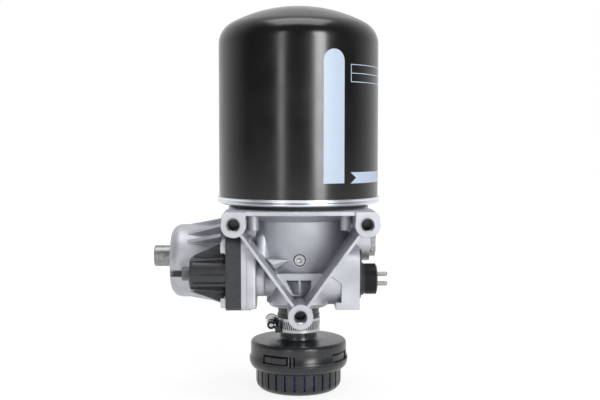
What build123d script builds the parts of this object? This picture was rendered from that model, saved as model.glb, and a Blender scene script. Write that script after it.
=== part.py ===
"""Spin-on cartridge air dryer for a vehicle's compressed air system, in millimetres.

The front of the dryer faces -Y. The origin lies on the mounting face, midway between
the two upper mounting holes. The cartridge stands upright on the housing, with the
governor and the pressure limiter on the left, the heater on the right, the two main
ports at the back and the silencer underneath.
"""
from math import cos, radians, sin, sqrt
import os

from build123d import *

os.makedirs("parts", exist_ok=True)

# Mounting face, holes and cartridge axis
stand_off = 75.0
hole_spacing = 106.0
lower_hole_drop = 73.0
mounting_drill_radius = 5.25
mounting_hole_depth = 22.0
mounting_boss_radius = 10.0
mounting_boss_flat = 9.6
mounting_boss_round = 4.8
upper_boss_depth = 42.0
web_depth = 48.0
lower_boss_depth = 50.0

# Clearances
running_gap = 0.3
bore_gap = 0.1

# Cartridge
can_radius = 68.0
can_wall = 1.5
shoulder_height = 148.0
shoulder_radius = 20.0
crown_height = 180.0
rim_overhang = 2.0
rim_bottom = 13.5
rim_height = 5.8
rim_foot_round = 2.4
rim_waist_depth = 1.6
rim_lip = 0.8
base_plate_inset = 6.0
base_plate_thickness = 5.2
gasket_radius = 57.5
gasket_width = 6.0
stud_radius = 19.5
stud_bore = 13.0
stud_length = 32.0
stud_engagement = 15.0
inlet_hole_radius = 4.0
inlet_hole_count = 8
inlet_hole_circle = 34.0
filter_inner_radius = 44.0
filter_height = 20.0
cup_radius = 60.0
cup_wall = 1.6
cup_height = 112.0
cup_outlet_radius = 12.0
spout_radius = 20.5
sieve_thickness = 2.0
sieve_hole_radius = 2.5
bed_height = 98.0
cartridge_spring_radius = 34.0
cartridge_spring_wire = 2.0
cartridge_spring_turns = 3

# Housing casting
seat_level = 10.4
seat_radius = 60.0
seat_thickness = 4.5
web_thickness = 3.2
web_front = 2.0
bowl_top_radius = 47.0
bowl_middle_radius = 43.3
bowl_bottom_radius = 36.5
bowl_bottom_level = -43.0
bowl_wall = 5.0
sump_level = -33.0
column_radius = 25.0
clean_air_radius = 12.0
clean_air_depth = 36.0
valve_body_radius = 27.5
valve_body_bottom = -76.0
valve_body_round = 4.0
rib_thickness = 4.4
rib_draft = 1.0
rib_front = 1.5
rib_back = 58.0
shelf_level = -46.1
shelf_thickness = 2.6
window_wall_front = 34.0
window_wall_thickness = 3.5
window_floor = -61.5
window_frame = 4.0
window_right_edge = 9.5
divider_thickness = 2.0
gusset_radius = 4.5
gusset_offset = 38.0
gusset_depth = 34.0
gusset_bottom = -7.0
left_face = -47.5
neck_radius = 15.0
neck_depth = 70.0
neck_level = -52.0

# Governor
governor_depth = 27.0
governor_level = -41.5
governor_pad_width = 28.0
governor_pad_top = -11.0
governor_pad_bottom = -70.5
governor_pad_round = 6.0
governor_pad_thickness = 8.0
governor_plate_thickness = 12.5
governor_barrel_radius = 13.8
governor_barrel_end = -89.6
governor_barrel_round = 3.4
governor_end_wall = 6.0
governor_rib_thickness = 2.4
governor_rib_proud = 0.9
governor_rib_start = 3.0
governor_rib_foot = 4.0
governor_slant_rib_proud = 1.8
governor_bore = 10.5
governor_piston_length = 10.0
governor_valve_hole = 3.0
governor_spring_wire = 0.9
governor_spring_turns = 5
spring_seat_thickness = 3.0
adjusting_screw_radius = 3.0
adjusting_screw_end = -105.3
locknut_flats = 10.0
locknut_height = 6.4
cover_bolt_radius = 3.0
cover_bolt_flats = 10.0
cover_bolt_head = 4.0
cover_bolt_collar = 0.8
cover_bolt_collar_height = 1.0
cover_bolt_length = 18.0
governor_bolt_y_pitch = 19.0
governor_bolt_z_pitch = 42.4

# Pressure limiter
limiter_depth = 80.0
limiter_level = -37.0
limiter_pad_level = -39.0
limiter_pad_radius = 38.4
limiter_pad_thickness = 11.5
limiter_flange_thickness = 11.0
limiter_ear_circle = 41.0
limiter_ear_radius = 6.6
limiter_cup_radius = 31.4
limiter_cup_wall = 3.4
limiter_cup_end = -109.5
limiter_cup_round = 10.0
limiter_gusset_start = -94.0
limiter_gusset_width = 3.2
limiter_gusset_reach = 38.0
limiter_ear_gusset_reach = 43.5
limiter_ear_gusset_spread = 8.0
limiter_cap_radius = 9.1
limiter_cap_length = 14.8
limiter_cap_raise = 4.0
limiter_cap_spigot = 5.0
limiter_piston_length = 8.0
limiter_stem_radius = 8.0
limiter_valve_hole = 6.0
limiter_spring_wire = 1.7
limiter_spring_turns = 5

# Heater and its connector
right_face = 51.3
heater_level = -53.0
heater_pad_front = 52.0
heater_pad_back = 98.0
heater_pad_top = -23.8
heater_pad_bottom = -76.2
heater_pad_thickness = 15.5
heater_pad_round = 11.0
heater_foot_height = 6.0
heater_foot_width = 4.8
heater_slant_width = 7.4
heater_slant_top = -48.6
heater_slant_bottom = -54.7
heater_barrel_radius = 22.0
heater_flange_thickness = 2.0
heater_flange_radius = 17.0
heater_lobe_radius = 7.0
heater_lobe_rise = 20.0
heater_lobe_shift = -10.0
connector_radius = 13.5
connector_collar = 3.0
connector_length = 14.2
connector_chamfer = 1.6
connector_recess = 2.0
connector_recess_radius = 9.5
pin_radius = 1.95
pin_spacing = 8.3
pin_end = 77.1
heater_rod_radius = 4.0
heater_rod_length = 18.0

# Ports
port_drill_radius = 10.25
port_depth = 16.0
port_mouth_chamfer = 1.0
port_boss_radius = 17.0
port_face = 138.0
delivery_level = -16.0
inlet_level = -56.0
inlet_passage_radius = 7.0
check_bore_radius = 9.0
check_bore_end = 104.0
check_seat_radius = 6.0
check_disc_thickness = 2.4
check_stem_radius = 2.6
check_ring_thickness = 1.6
check_ring_width = 5.0
check_spring_radius = 5.4
check_spring_wire = 0.6
check_spring_turns = 4
delivery_tube_radius = 12.5
side_port_depth = 91.5
side_port_level = -23.0
side_port_boss_radius = 16.0
side_port_face = 62.0
side_plug_flats = 21.0
side_plug_head = 4.3
side_plug_seal = 1.2
side_plug_seal_radius = 12.4
side_plug_shank = 12.0
regeneration_drill_radius = 5.25
regeneration_depth = 12.0
regeneration_x = 38.0
regeneration_face = 111.0
regeneration_boss_radius = 10.0
inlet_rise_radius = 4.0
front_plug_level = -32.0
front_plug_radius = 5.3
front_plug_boss_radius = 6.4
front_plug_face = 35.0
front_plug_depth = 7.0
front_plug_dimple_radius = 1.7
front_plug_dimple_depth = 2.0
passage_x = -30.7
passage_y = 45.0
passage_top = -14.3
passage_bottom = -42.0
passage_radius = 5.2
branch_radius = 4.6
branch_taper = 3.5
branch_start_level = -39.5
branch_end_x = -5.0

# Purge valve and exhaust
exhaust_bore = 24.0
purge_cylinder_radius = 13.0
purge_cylinder_top = -39.0
purge_cylinder_bottom = -52.0
purge_seat_level = -55.0
purge_seat_thickness = 4.0
purge_seat_hole = 8.0
purge_piston_length = 6.0
purge_rod_radius = 3.0
purge_disc_radius = 11.0
purge_disc_thickness = 2.6
purge_spring_radius = 6.5
purge_spring_wire = 0.6
purge_spring_turns = 3
guide_thickness = 2.0
exhaust_flange_thickness = 2.0
exhaust_ring_thickness = 1.6
exhaust_ring_groove = 1.5
exhaust_neck_radius = 17.7
exhaust_neck_bottom = -97.0
silencer_neck_radius = 15.8
silencer_neck_top = -84.0
silencer_neck_bore = 12.5

# Hose clamp
clamp_width = 11.6
clamp_band_thickness = 0.8
clamp_screw_radius = 3.4
clamp_screw_head_radius = 4.6
clamp_screw_length = 20.0
clamp_screw_head_length = 4.0

# Silencer
silencer_top = -105.0
silencer_radius = 41.3
silencer_wall = 2.2
silencer_round = 2.5
bulge_radius = 42.5
bulge_level = -121.5
bulge_height = 3.0
silencer_joint = -129.0
silencer_joint_radius = 38.0
skirt_radius = 41.0
skirt_level = -127.0
cage_radius = 36.8
cage_wall = 2.4
cage_bottom = -148.0
cage_round = 8.0
cage_rim_height = 6.0
slot_count = 28
slot_width = 1.7
slot_top = -129.8
slot_bottom = -143.3
latch_count = 4
latch_angle = 33.7
latch_first = -30.6
latch_top = -112.8
latch_bottom = -120.2
mesh_thickness = 5.0
baffle_radius = 22.0
baffle_thickness = 1.5
hook_depth = 2.0

# Places that follow from the sizes above
cartridge_axis = Axis((0, stand_off, 0), (0, 0, 1))
hole_half = hole_spacing / 2
rim_top = rim_bottom + rim_height
rim_radius = can_radius + rim_overhang
base_plate_radius = can_radius - base_plate_inset
base_plate_top = rim_top
base_plate_bottom = base_plate_top - base_plate_thickness
governor_centre = (governor_depth, governor_level)
governor_plate_face = left_face - governor_plate_thickness
limiter_flange_face = left_face - limiter_flange_thickness
limiter_bore = limiter_cup_radius - limiter_cup_wall


def front_plane(y):
    """Upright plane facing the front, with x across and z up."""
    return Plane(origin=(0, y, 0), x_dir=(1, 0, 0), z_dir=(0, -1, 0))


def side_plane(x):
    """Upright plane facing right, with y across and z up."""
    return Plane(origin=(x, 0, 0), x_dir=(0, 1, 0), z_dir=(1, 0, 0))


def back_plane(y):
    """Upright plane facing the back, with -x across and z up."""
    return Plane(origin=(0, y, 0), x_dir=(-1, 0, 0), z_dir=(0, 1, 0))


def places(plane, *points):
    """Locations of holes on a plane, which point into it."""
    return [plane.location * Location((*point, 0)) for point in points]


def level_plane(z):
    """Level plane centred on the cartridge axis."""
    return Plane(origin=(0, stand_off, z), x_dir=(1, 0, 0), z_dir=(0, 0, 1))


def disc(plane, centre, radius):
    """A round face on a plane."""
    with BuildSketch(plane) as face:
        with Locations(centre):
            Circle(radius)
    return face.sketch


def washer(plane, centre, outer, inner):
    """A ring-shaped face on a plane."""
    with BuildSketch(plane) as face:
        with Locations(centre):
            Circle(outer)
            Circle(inner, mode=Mode.SUBTRACT)
    return face.sketch


def ring_face(inner, outer, bottom, top):
    """Rectangular section of a ring about the cartridge axis."""
    with BuildSketch(front_plane(stand_off)) as face:
        with Locations(((inner + outer) / 2, (bottom + top) / 2)):
            Rectangle(outer - inner, top - bottom)
    return face.sketch


def hexagon(plane, centre, flats, hole=0.0, turn=0.0):
    """A hexagonal face across flats, with a round hole if one is given."""
    with BuildSketch(plane) as face:
        with Locations(centre):
            RegularPolygon(flats / 2, 6, major_radius=False, rotation=turn)
            if hole:
                Circle(hole, mode=Mode.SUBTRACT)
    return face.sketch


def coil_spring(plane, mean_radius, wire, length, turns):
    """Compression spring that stands on a plane, with its wire inside the length."""
    rise = length - 2 * wire
    start = plane.offset(wire)
    with BuildPart() as spring:
        with BuildLine():
            path = Helix(rise / turns, rise, mean_radius, start.origin, start.z_dir)
        with BuildSketch(Plane(origin=path @ 0, z_dir=path % 0)):
            Circle(wire)
        sweep(path=path, is_frenet=True)
    return spring.part


def can_section(inset):
    """Half section of the can, drawn in from its outside by an inset."""
    radius = can_radius - inset
    corner = shoulder_radius - inset
    crown = crown_height - inset
    flat = radius - corner
    rise = crown - shoulder_height
    dome = (flat**2 + rise**2 - corner**2) / (2 * (rise - corner))
    dome_centre = crown - dome
    lean = flat / (dome - corner)
    joint = (dome * lean, dome_centre + dome * sqrt(1 - lean**2))
    with BuildSketch(front_plane(stand_off)) as face:
        with BuildLine():
            wall = Line((radius, rim_top), (radius, shoulder_height))
            shoulder = TangentArc(wall @ 1, joint, tangent=(0, 1))
            RadiusArc(shoulder @ 1, (0, crown), -dome)
            Polyline((0, crown), (0, rim_top), (radius, rim_top))
        make_face()
    return face.sketch


# Can of the cartridge, pressed from thin steel with a domed crown
with BuildPart() as canister_shell:
    revolve(can_section(0), axis=cartridge_axis)
    revolve(can_section(can_wall), axis=cartridge_axis, mode=Mode.SUBTRACT)

# Crimp ring that seams the can to its base plate, with a bead below a waist
with BuildPart() as canister_rim:
    bead_out = rim_radius - 0.5
    bead_level = rim_bottom + rim_foot_round
    waist = rim_radius - rim_waist_depth
    waist_level = (bead_level + rim_top - rim_lip) / 2
    with BuildSketch(front_plane(stand_off)):
        with BuildLine():
            ThreePointArc(
                (bead_out - rim_foot_round, rim_bottom),
                (bead_out - 0.29 * rim_foot_round, rim_bottom + 0.29 * rim_foot_round),
                (bead_out, bead_level),
            )
            ThreePointArc(
                (bead_out, bead_level),
                (waist, waist_level),
                (rim_radius, rim_top - rim_lip),
            )
            Polyline(
                (rim_radius, rim_top - rim_lip),
                (rim_radius, rim_top),
                (base_plate_radius, rim_top),
                (base_plate_radius, rim_bottom),
                (bead_out - rim_foot_round, rim_bottom),
            )
        make_face()
    revolve(axis=cartridge_axis)

# Thick base plate with the stud thread and a ring of inlet holes
with BuildPart() as canister_base_plate:
    extrude(washer(level_plane(base_plate_bottom), (0, 0), base_plate_radius, stud_radius),
            amount=base_plate_thickness)
    with BuildSketch(level_plane(base_plate_bottom)):
        with PolarLocations(inlet_hole_circle, inlet_hole_count):
            Circle(inlet_hole_radius)
    extrude(amount=base_plate_thickness, mode=Mode.SUBTRACT)

# Rubber seat ring squeezed between the base plate and the housing
with BuildPart() as canister_gasket:
    revolve(ring_face(gasket_radius - gasket_width, gasket_radius, seat_level, base_plate_bottom),
            axis=cartridge_axis)

# Oil separating filter, a wound ring on the base plate
filter_top = base_plate_top + filter_height
filter_outer_radius = cup_radius - cup_wall
with BuildPart() as coalescing_filter:
    revolve(ring_face(filter_inner_radius, filter_outer_radius, base_plate_top, filter_top),
            axis=cartridge_axis)

# Desiccant cup with a perforated floor and an outlet spout down to the stud
cup_bottom = filter_top
cup_top = cup_bottom + cup_height
spout_bottom = base_plate_top
with BuildPart() as desiccant_cup:
    revolve(ring_face(cup_radius - cup_wall, cup_radius, cup_bottom, cup_top),
            axis=cartridge_axis)
    revolve(ring_face(cup_outlet_radius, cup_radius, cup_bottom, cup_bottom + cup_wall),
            axis=cartridge_axis)
    revolve(ring_face(spout_radius, spout_radius + cup_wall, spout_bottom, cup_bottom),
            axis=cartridge_axis)


def sieve_plate(level):
    """Perforated plate that holds the beads in place."""
    with BuildPart() as plate:
        with BuildSketch(level_plane(level)):
            Circle(cup_radius - cup_wall - bore_gap)
            with PolarLocations(cup_radius / 2, 8):
                Circle(sieve_hole_radius, mode=Mode.SUBTRACT)
            with PolarLocations(cup_radius / 4, 4):
                Circle(sieve_hole_radius, mode=Mode.SUBTRACT)
        extrude(amount=sieve_thickness)
    return plate.part


lower_sieve_level = cup_bottom + cup_wall
bed_bottom = lower_sieve_level + sieve_thickness
bed_top = bed_bottom + bed_height
upper_sieve_top = bed_top + sieve_thickness

# Sieve plates under and over the bed of desiccant beads
with BuildPart() as lower_sieve_plate:
    add(sieve_plate(lower_sieve_level))
with BuildPart() as upper_sieve_plate:
    add(sieve_plate(bed_top))
with BuildPart() as desiccant_bed:
    extrude(disc(level_plane(bed_bottom), (0, 0), cup_radius - cup_wall - bore_gap),
            amount=bed_height)

# Spring under the crown that keeps the bed tight
crown_flat = can_radius - shoulder_radius
crown_rise = crown_height - shoulder_height
crown_dome = (crown_flat**2 + crown_rise**2 - shoulder_radius**2) / (
    2 * (crown_rise - shoulder_radius)
)
spring_reach = cartridge_spring_radius + cartridge_spring_wire
under_crown = crown_height - crown_dome + sqrt((crown_dome - can_wall) ** 2 - spring_reach**2)
with BuildPart() as canister_spring:
    add(coil_spring(level_plane(upper_sieve_top), cartridge_spring_radius, cartridge_spring_wire,
                    under_crown - running_gap - upper_sieve_top, cartridge_spring_turns))

# Hollow threaded stud that carries the cartridge
stud_bottom = seat_level - stud_engagement
with BuildPart() as canister_stud:
    extrude(washer(level_plane(stud_bottom), (0, 0), stud_radius - bore_gap, stud_bore),
            amount=stud_length)


def mounting_outline(centre_x, direction):
    """Round boss with a squared outer top corner."""
    with BuildSketch(front_plane(0)) as face:
        with Locations((centre_x, 0)):
            Circle(mounting_boss_radius)
        with BuildSketch(front_plane(0), mode=Mode.PRIVATE) as corner:
            with Locations((centre_x, seat_level / 2)):
                Rectangle(2 * mounting_boss_flat, seat_level)
            outer_top = corner.vertices().sort_by(Axis.Y)[-2:].sort_by(Axis.X)
            fillet(outer_top[-1] if direction > 0 else outer_top[0], mounting_boss_round)
        add(corner.sketch)
    return face.sketch


def rib_centre(level):
    """Distance from the middle to the centre of either V rib at a height."""
    return hole_half * (1 + level / lower_hole_drop)


def rib_plate(side):
    """Thin plate of the V, from an upper boss down to the lower boss."""
    run = sqrt(hole_half**2 + lower_hole_drop**2)
    lean = Vector(-side * hole_half, -lower_hole_drop, 0).get_angle(Vector(1, 0, 0))
    with BuildPart() as rib:
        with BuildSketch(front_plane(rib_back)):
            with Locations((side * hole_half / 2, -lower_hole_drop / 2)):
                Rectangle(run, rib_thickness, rotation=-lean)
        extrude(amount=rib_back - rib_front, taper=rib_draft)
    return rib.part


def round_bar(start, end, radius, taper=0.0):
    """Round bar between two points, tapered by an angle if one is given."""
    axis = Vector(*end) - Vector(*start)
    with BuildPart() as bar:
        with BuildSketch(Plane(origin=start, z_dir=axis)):
            Circle(radius)
        extrude(amount=axis.length, taper=taper)
    return bar.part


# Die-cast aluminium housing with the bowl, mounting frame, flanges and ports
with BuildPart() as housing:
    with BuildSketch(front_plane(stand_off)):
        with BuildLine():
            Polyline((0, seat_level), (seat_radius, seat_level),
                     (seat_radius, seat_level - seat_thickness), (bowl_top_radius, 0))
            ThreePointArc((bowl_top_radius, 0), (bowl_middle_radius, bowl_bottom_level / 2),
                          (bowl_bottom_radius, bowl_bottom_level))
            foot_round = bowl_bottom_radius - valve_body_radius
            bowl_foot = (valve_body_radius, bowl_bottom_level - foot_round)
            RadiusArc((bowl_bottom_radius, bowl_bottom_level), bowl_foot, foot_round)
            Polyline(bowl_foot, (valve_body_radius, valve_body_bottom + valve_body_round),
                     (valve_body_radius - valve_body_round, valve_body_bottom),
                     (0, valve_body_bottom), (0, seat_level))
        make_face()
    revolve(axis=cartridge_axis)

    # Level web that ties the upper bosses to the seat
    with BuildSketch(Plane.XY.offset(seat_level - web_thickness)):
        with Locations((0, (web_front + web_depth) / 2)):
            Rectangle(hole_spacing, web_depth - web_front)
    extrude(amount=web_thickness)

    # Upper mounting bosses, level with the seat
    for side in (-1, 1):
        extrude(mounting_outline(side * hole_half, side), amount=-upper_boss_depth)

    # V ribs and the lower boss
    for side in (-1, 1):
        add(rib_plate(side))
    extrude(disc(front_plane(0), (0, -lower_hole_drop), mounting_boss_radius),
            amount=-lower_boss_depth)

    # Shelf under the bowl and the wall below it, with a window on each side of its divider
    window_top = shelf_level - shelf_thickness
    with BuildSketch(Plane.XY.offset(window_top)):
        with Locations((0, (window_wall_front + stand_off) / 2)):
            Rectangle(2 * rib_centre(window_top), stand_off - window_wall_front)
    extrude(amount=shelf_thickness)
    with BuildSketch(front_plane(window_wall_front)):
        with BuildLine():
            Polyline((-rib_centre(bowl_bottom_level), bowl_bottom_level),
                     (rib_centre(bowl_bottom_level), bowl_bottom_level),
                     (rib_centre(window_floor), window_floor),
                     (-rib_centre(window_floor), window_floor), close=True)
        make_face()
        with BuildLine():
            Polyline((window_frame - rib_centre(window_top) + rib_thickness / 2, window_top),
                     (-divider_thickness / 2, window_top),
                     (-divider_thickness / 2, window_floor + 1),
                     (window_frame - rib_centre(window_floor + 1), window_floor + 1), close=True)
        make_face(mode=Mode.SUBTRACT)
        with BuildLine():
            Polyline((divider_thickness / 2, window_top), (window_right_edge, window_top),
                     (window_right_edge, (window_top + window_floor) / 2),
                     (rib_centre(window_floor) - rib_thickness / 2, window_floor),
                     (divider_thickness / 2, window_floor), close=True)
        make_face(mode=Mode.SUBTRACT)
    extrude(amount=-window_wall_thickness)

    # Room for the limiter's flange beside the left rib
    ear_reach = limiter_ear_circle * sin(radians(45))
    with BuildSketch(side_plane(left_face)):
        with Locations((limiter_depth, limiter_pad_level)):
            Circle(limiter_pad_radius + 1)
            with GridLocations(2 * ear_reach, 2 * ear_reach, 2, 2):
                Circle(limiter_ear_radius + 1)
    extrude(amount=-mounting_boss_radius, mode=Mode.SUBTRACT)

    # Rounded gussets behind the upper bosses
    with BuildSketch(Plane.XY.offset(gusset_bottom)):
        with Locations((-gusset_offset, gusset_depth), (gusset_offset, gusset_depth)):
            Circle(gusset_radius)
    extrude(amount=seat_level - web_thickness - gusset_bottom)

    # Left flange: a pad for the governor and a round one for the limiter
    pad_height = governor_pad_top - governor_pad_bottom
    pad_middle = (governor_pad_top + governor_pad_bottom) / 2
    with BuildSketch(side_plane(left_face)):
        with Locations((governor_depth, pad_middle)):
            RectangleRounded(governor_pad_width, pad_height, governor_pad_round)
    extrude(amount=governor_pad_thickness)
    with BuildSketch(side_plane(left_face)):
        with Locations((limiter_depth, limiter_pad_level)):
            Circle(limiter_pad_radius)
            with GridLocations(2 * ear_reach, 2 * ear_reach, 2, 2):
                Circle(limiter_ear_radius)
    extrude(amount=limiter_pad_thickness)
    bridge_front = governor_depth + governor_pad_width / 2
    with BuildSketch(side_plane(left_face)):
        with Locations(((bridge_front + limiter_depth) / 2, pad_middle)):
            Rectangle(limiter_depth - bridge_front + 4, pad_height * 0.6)
    extrude(amount=governor_pad_thickness)
    extrude(disc(side_plane(left_face + 1), (neck_depth, neck_level), neck_radius),
            amount=abs(left_face) - 20)

    # Right flange for the heater, with its barrel, slanted shoulder and foot
    heater_ledge = right_face - heater_pad_thickness
    with BuildPart(mode=Mode.PRIVATE) as heater_pad:
        with BuildSketch(front_plane(heater_pad_front)):
            with BuildLine():
                Polyline(
                    (column_radius, heater_pad_top),
                    (right_face, heater_pad_top),
                    (right_face, heater_pad_bottom),
                    (heater_ledge - heater_foot_width, heater_pad_bottom),
                    (heater_ledge - heater_foot_width, heater_pad_bottom + heater_foot_height),
                    (heater_ledge, heater_pad_bottom + heater_foot_height),
                    (heater_ledge, heater_slant_bottom),
                    (heater_ledge - heater_slant_width, heater_slant_top),
                    (column_radius, heater_slant_top),
                    close=True,
                )
            make_face()
        extrude(amount=heater_pad_front - heater_pad_back)
        top_front = heater_pad.edges().filter_by(Axis.X).sort_by(Axis.Z)[-2:].sort_by(Axis.Y)[0]
        fillet(top_front, heater_pad_round)
    add(heater_pad.part)
    extrude(disc(side_plane(0), (stand_off, heater_level), heater_barrel_radius),
            amount=right_face - heater_pad_thickness / 2)
    extrude(disc(side_plane(0), (side_port_depth, side_port_level), side_port_boss_radius),
            amount=side_port_face)

    # Rear port bosses
    for level in (delivery_level, inlet_level):
        extrude(disc(front_plane(stand_off), (0, level), port_boss_radius),
                amount=stand_off - port_face)
    extrude(disc(front_plane(stand_off), (regeneration_x, inlet_level), regeneration_boss_radius),
            amount=stand_off - regeneration_face)

    # Cast passage on the left of the bowl and its branch to the front plug
    add(round_bar((passage_x, passage_y, passage_bottom), (passage_x, passage_y, passage_top),
                  passage_radius))
    with Locations((passage_x, passage_y, passage_top)):
        Sphere(passage_radius)
    add(round_bar((passage_x, passage_y, branch_start_level),
                  (branch_end_x, front_plug_face + branch_radius, front_plug_level),
                  branch_radius, branch_taper))
    extrude(disc(front_plane(stand_off), (0, front_plug_level), front_plug_boss_radius),
            amount=stand_off - front_plug_face)

    # Hollow of the bowl round the central column, and the clean air passage
    with BuildSketch(front_plane(stand_off)):
        with BuildLine():
            inner_top = (bowl_top_radius - bowl_wall, seat_level)
            inner_floor = (bowl_bottom_radius - bowl_wall, sump_level)
            Line((column_radius, seat_level), inner_top)
            Line(inner_top, (bowl_top_radius - bowl_wall, 0))
            ThreePointArc((bowl_top_radius - bowl_wall, 0),
                          (bowl_middle_radius - bowl_wall, sump_level / 2), inner_floor)
            Polyline(inner_floor, (column_radius, sump_level), (column_radius, seat_level))
        make_face()
    revolve(axis=cartridge_axis, mode=Mode.SUBTRACT)
    extrude(disc(level_plane(seat_level), (0, 0), stud_radius),
            amount=-stud_engagement, mode=Mode.SUBTRACT)
    extrude(disc(level_plane(seat_level), (0, 0), clean_air_radius),
            amount=-clean_air_depth, mode=Mode.SUBTRACT)

    # Purge cylinder, exhaust bore, ring groove and the drillings from the sump
    extrude(disc(level_plane(valve_body_bottom), (0, 0), exhaust_bore),
            amount=purge_cylinder_bottom - valve_body_bottom, mode=Mode.SUBTRACT)
    extrude(disc(level_plane(purge_cylinder_bottom), (0, 0), purge_cylinder_radius),
            amount=purge_cylinder_top - purge_cylinder_bottom, mode=Mode.SUBTRACT)
    groove_radius = exhaust_bore + exhaust_ring_groove
    extrude(disc(level_plane(valve_body_bottom + exhaust_ring_groove), (0, 0), groove_radius),
            amount=exhaust_ring_thickness, mode=Mode.SUBTRACT)
    drain_circle = (purge_cylinder_radius + exhaust_bore) / 2 + 1
    with BuildSketch(level_plane(purge_cylinder_bottom)):
        with PolarLocations(drain_circle, 4, start_angle=45):
            Circle(2.5)
    extrude(amount=sump_level + 8 - purge_cylinder_bottom, mode=Mode.SUBTRACT)

    # Mounting holes
    with Locations(*places(front_plane(0), (-hole_half, 0), (hole_half, 0), (0, -lower_hole_drop))):
        Hole(mounting_drill_radius, mounting_hole_depth)

    # Rear ports, side port and regeneration port
    port_mouth_radius = port_drill_radius + port_mouth_chamfer
    with Locations(*places(back_plane(port_face), (0, delivery_level), (0, inlet_level)),
                   *places(side_plane(side_port_face), (side_port_depth, side_port_level))):
        CounterSinkHole(port_drill_radius, port_mouth_radius, port_depth, 90)
    port_floor = port_face - port_depth
    delivery_tube_root = stand_off + column_radius - 4
    extrude(disc(back_plane(delivery_tube_root), (0, delivery_level), delivery_tube_radius),
            amount=port_floor - delivery_tube_root)
    with Locations(*places(back_plane(port_floor), (0, delivery_level))):
        CounterBoreHole(check_seat_radius, check_bore_radius, port_floor - check_bore_end,
                        port_floor - stand_off)
    inlet_rise = stand_off + bowl_bottom_radius - bowl_wall - 3
    with Locations(*places(back_plane(port_floor), (0, inlet_level))):
        Hole(inlet_passage_radius, port_floor - inlet_rise)
    with Locations(Location((0, inlet_rise, sump_level + 2))):
        Hole(inlet_rise_radius, sump_level + 2 - inlet_level)
    with Locations(*places(back_plane(regeneration_face), (-regeneration_x, inlet_level))):
        CounterSinkHole(regeneration_drill_radius, regeneration_drill_radius + port_mouth_chamfer,
                        regeneration_depth, 90)
    with Locations(*places(front_plane(front_plug_face), (0, front_plug_level))):
        Hole(front_plug_radius, front_plug_depth)

    # Bores of the left and right flanges
    extrude(disc(side_plane(left_face), governor_centre, governor_valve_hole),
            amount=governor_pad_thickness - 2, mode=Mode.SUBTRACT)
    extrude(disc(side_plane(left_face), (limiter_depth, limiter_level), limiter_valve_hole),
            amount=limiter_pad_thickness - 2, mode=Mode.SUBTRACT)
    extrude(disc(side_plane(right_face), (stand_off, heater_level), heater_rod_radius + bore_gap),
            amount=-heater_rod_length - running_gap, mode=Mode.SUBTRACT)
    bolt_hole_depth = cover_bolt_length - governor_plate_thickness + 1
    with BuildSketch(side_plane(left_face)):
        with Locations(governor_centre):
            with GridLocations(governor_bolt_y_pitch, governor_bolt_z_pitch, 2, 2):
                Circle(cover_bolt_radius)
    extrude(amount=bolt_hole_depth, mode=Mode.SUBTRACT)
    limiter_bolt_depth = cover_bolt_length - limiter_flange_thickness + 1
    with BuildSketch(side_plane(left_face)):
        with Locations((limiter_depth, limiter_pad_level)):
            with GridLocations(2 * ear_reach, 2 * ear_reach, 2, 2):
                Circle(cover_bolt_radius)
    extrude(amount=limiter_bolt_depth, mode=Mode.SUBTRACT)


def blade(tip, root, inner, tip_reach, root_reach, thickness, centre, turn):
    """Tapered rib along a cover's axis, turned about it from the top."""
    with BuildPart() as rib:
        with BuildSketch(Plane.XZ):
            with BuildLine():
                Polyline((tip, inner), (tip, tip_reach), (root, root_reach), (root, inner),
                         close=True)
            make_face()
        extrude(amount=thickness / 2, both=True)
    return Location((0, *centre), (turn, 0, 0)) * rib.part


# Governor cover, black moulding with a ribbed barrel on a thick plate
barrel_root = governor_plate_face
barrel_top = governor_level + governor_barrel_radius
bore_end = governor_barrel_end + governor_end_wall
governor_axis = Axis((0, governor_depth, governor_level), (1, 0, 0))
with BuildPart() as governor_cover:
    with BuildSketch(side_plane(governor_plate_face)):
        with Locations((governor_depth, pad_middle)):
            RectangleRounded(governor_pad_width, pad_height, governor_pad_round)
    extrude(amount=governor_plate_thickness)
    with BuildSketch(front_plane(governor_depth)):
        with BuildLine():
            Polyline(
                (barrel_root, governor_level),
                (governor_barrel_end, governor_level),
                (governor_barrel_end, barrel_top - governor_barrel_round),
            )
            RadiusArc((governor_barrel_end, barrel_top - governor_barrel_round),
                      (governor_barrel_end + governor_barrel_round, barrel_top),
                      governor_barrel_round)
            Polyline((governor_barrel_end + governor_barrel_round, barrel_top),
                     (barrel_root, barrel_top), (barrel_root, governor_level))
        make_face()
    revolve(axis=governor_axis)
    rib_reaches = (
        (0, governor_pad_top - governor_rib_foot - governor_level),
        (180, governor_level - governor_pad_bottom - governor_rib_foot),
        *((turn, governor_barrel_radius + governor_slant_rib_proud) for turn in (60, 120, 240, 300)),
    )
    for turn, reach in rib_reaches:
        add(blade(governor_barrel_end + governor_rib_start, barrel_root,
                  governor_barrel_radius - governor_rib_thickness / 2,
                  governor_barrel_radius + governor_rib_proud, reach, governor_rib_thickness,
                  governor_centre, turn))
    extrude(disc(side_plane(left_face), governor_centre, governor_bore),
            amount=bore_end - left_face, mode=Mode.SUBTRACT)
    extrude(disc(side_plane(bore_end), governor_centre,
                 adjusting_screw_radius + bore_gap),
            amount=-governor_end_wall, mode=Mode.SUBTRACT)
    with BuildSketch(side_plane(left_face)):
        with Locations(governor_centre):
            with GridLocations(governor_bolt_y_pitch, governor_bolt_z_pitch, 2, 2):
                Circle(cover_bolt_radius)
    extrude(amount=-governor_plate_thickness, mode=Mode.SUBTRACT)

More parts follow.
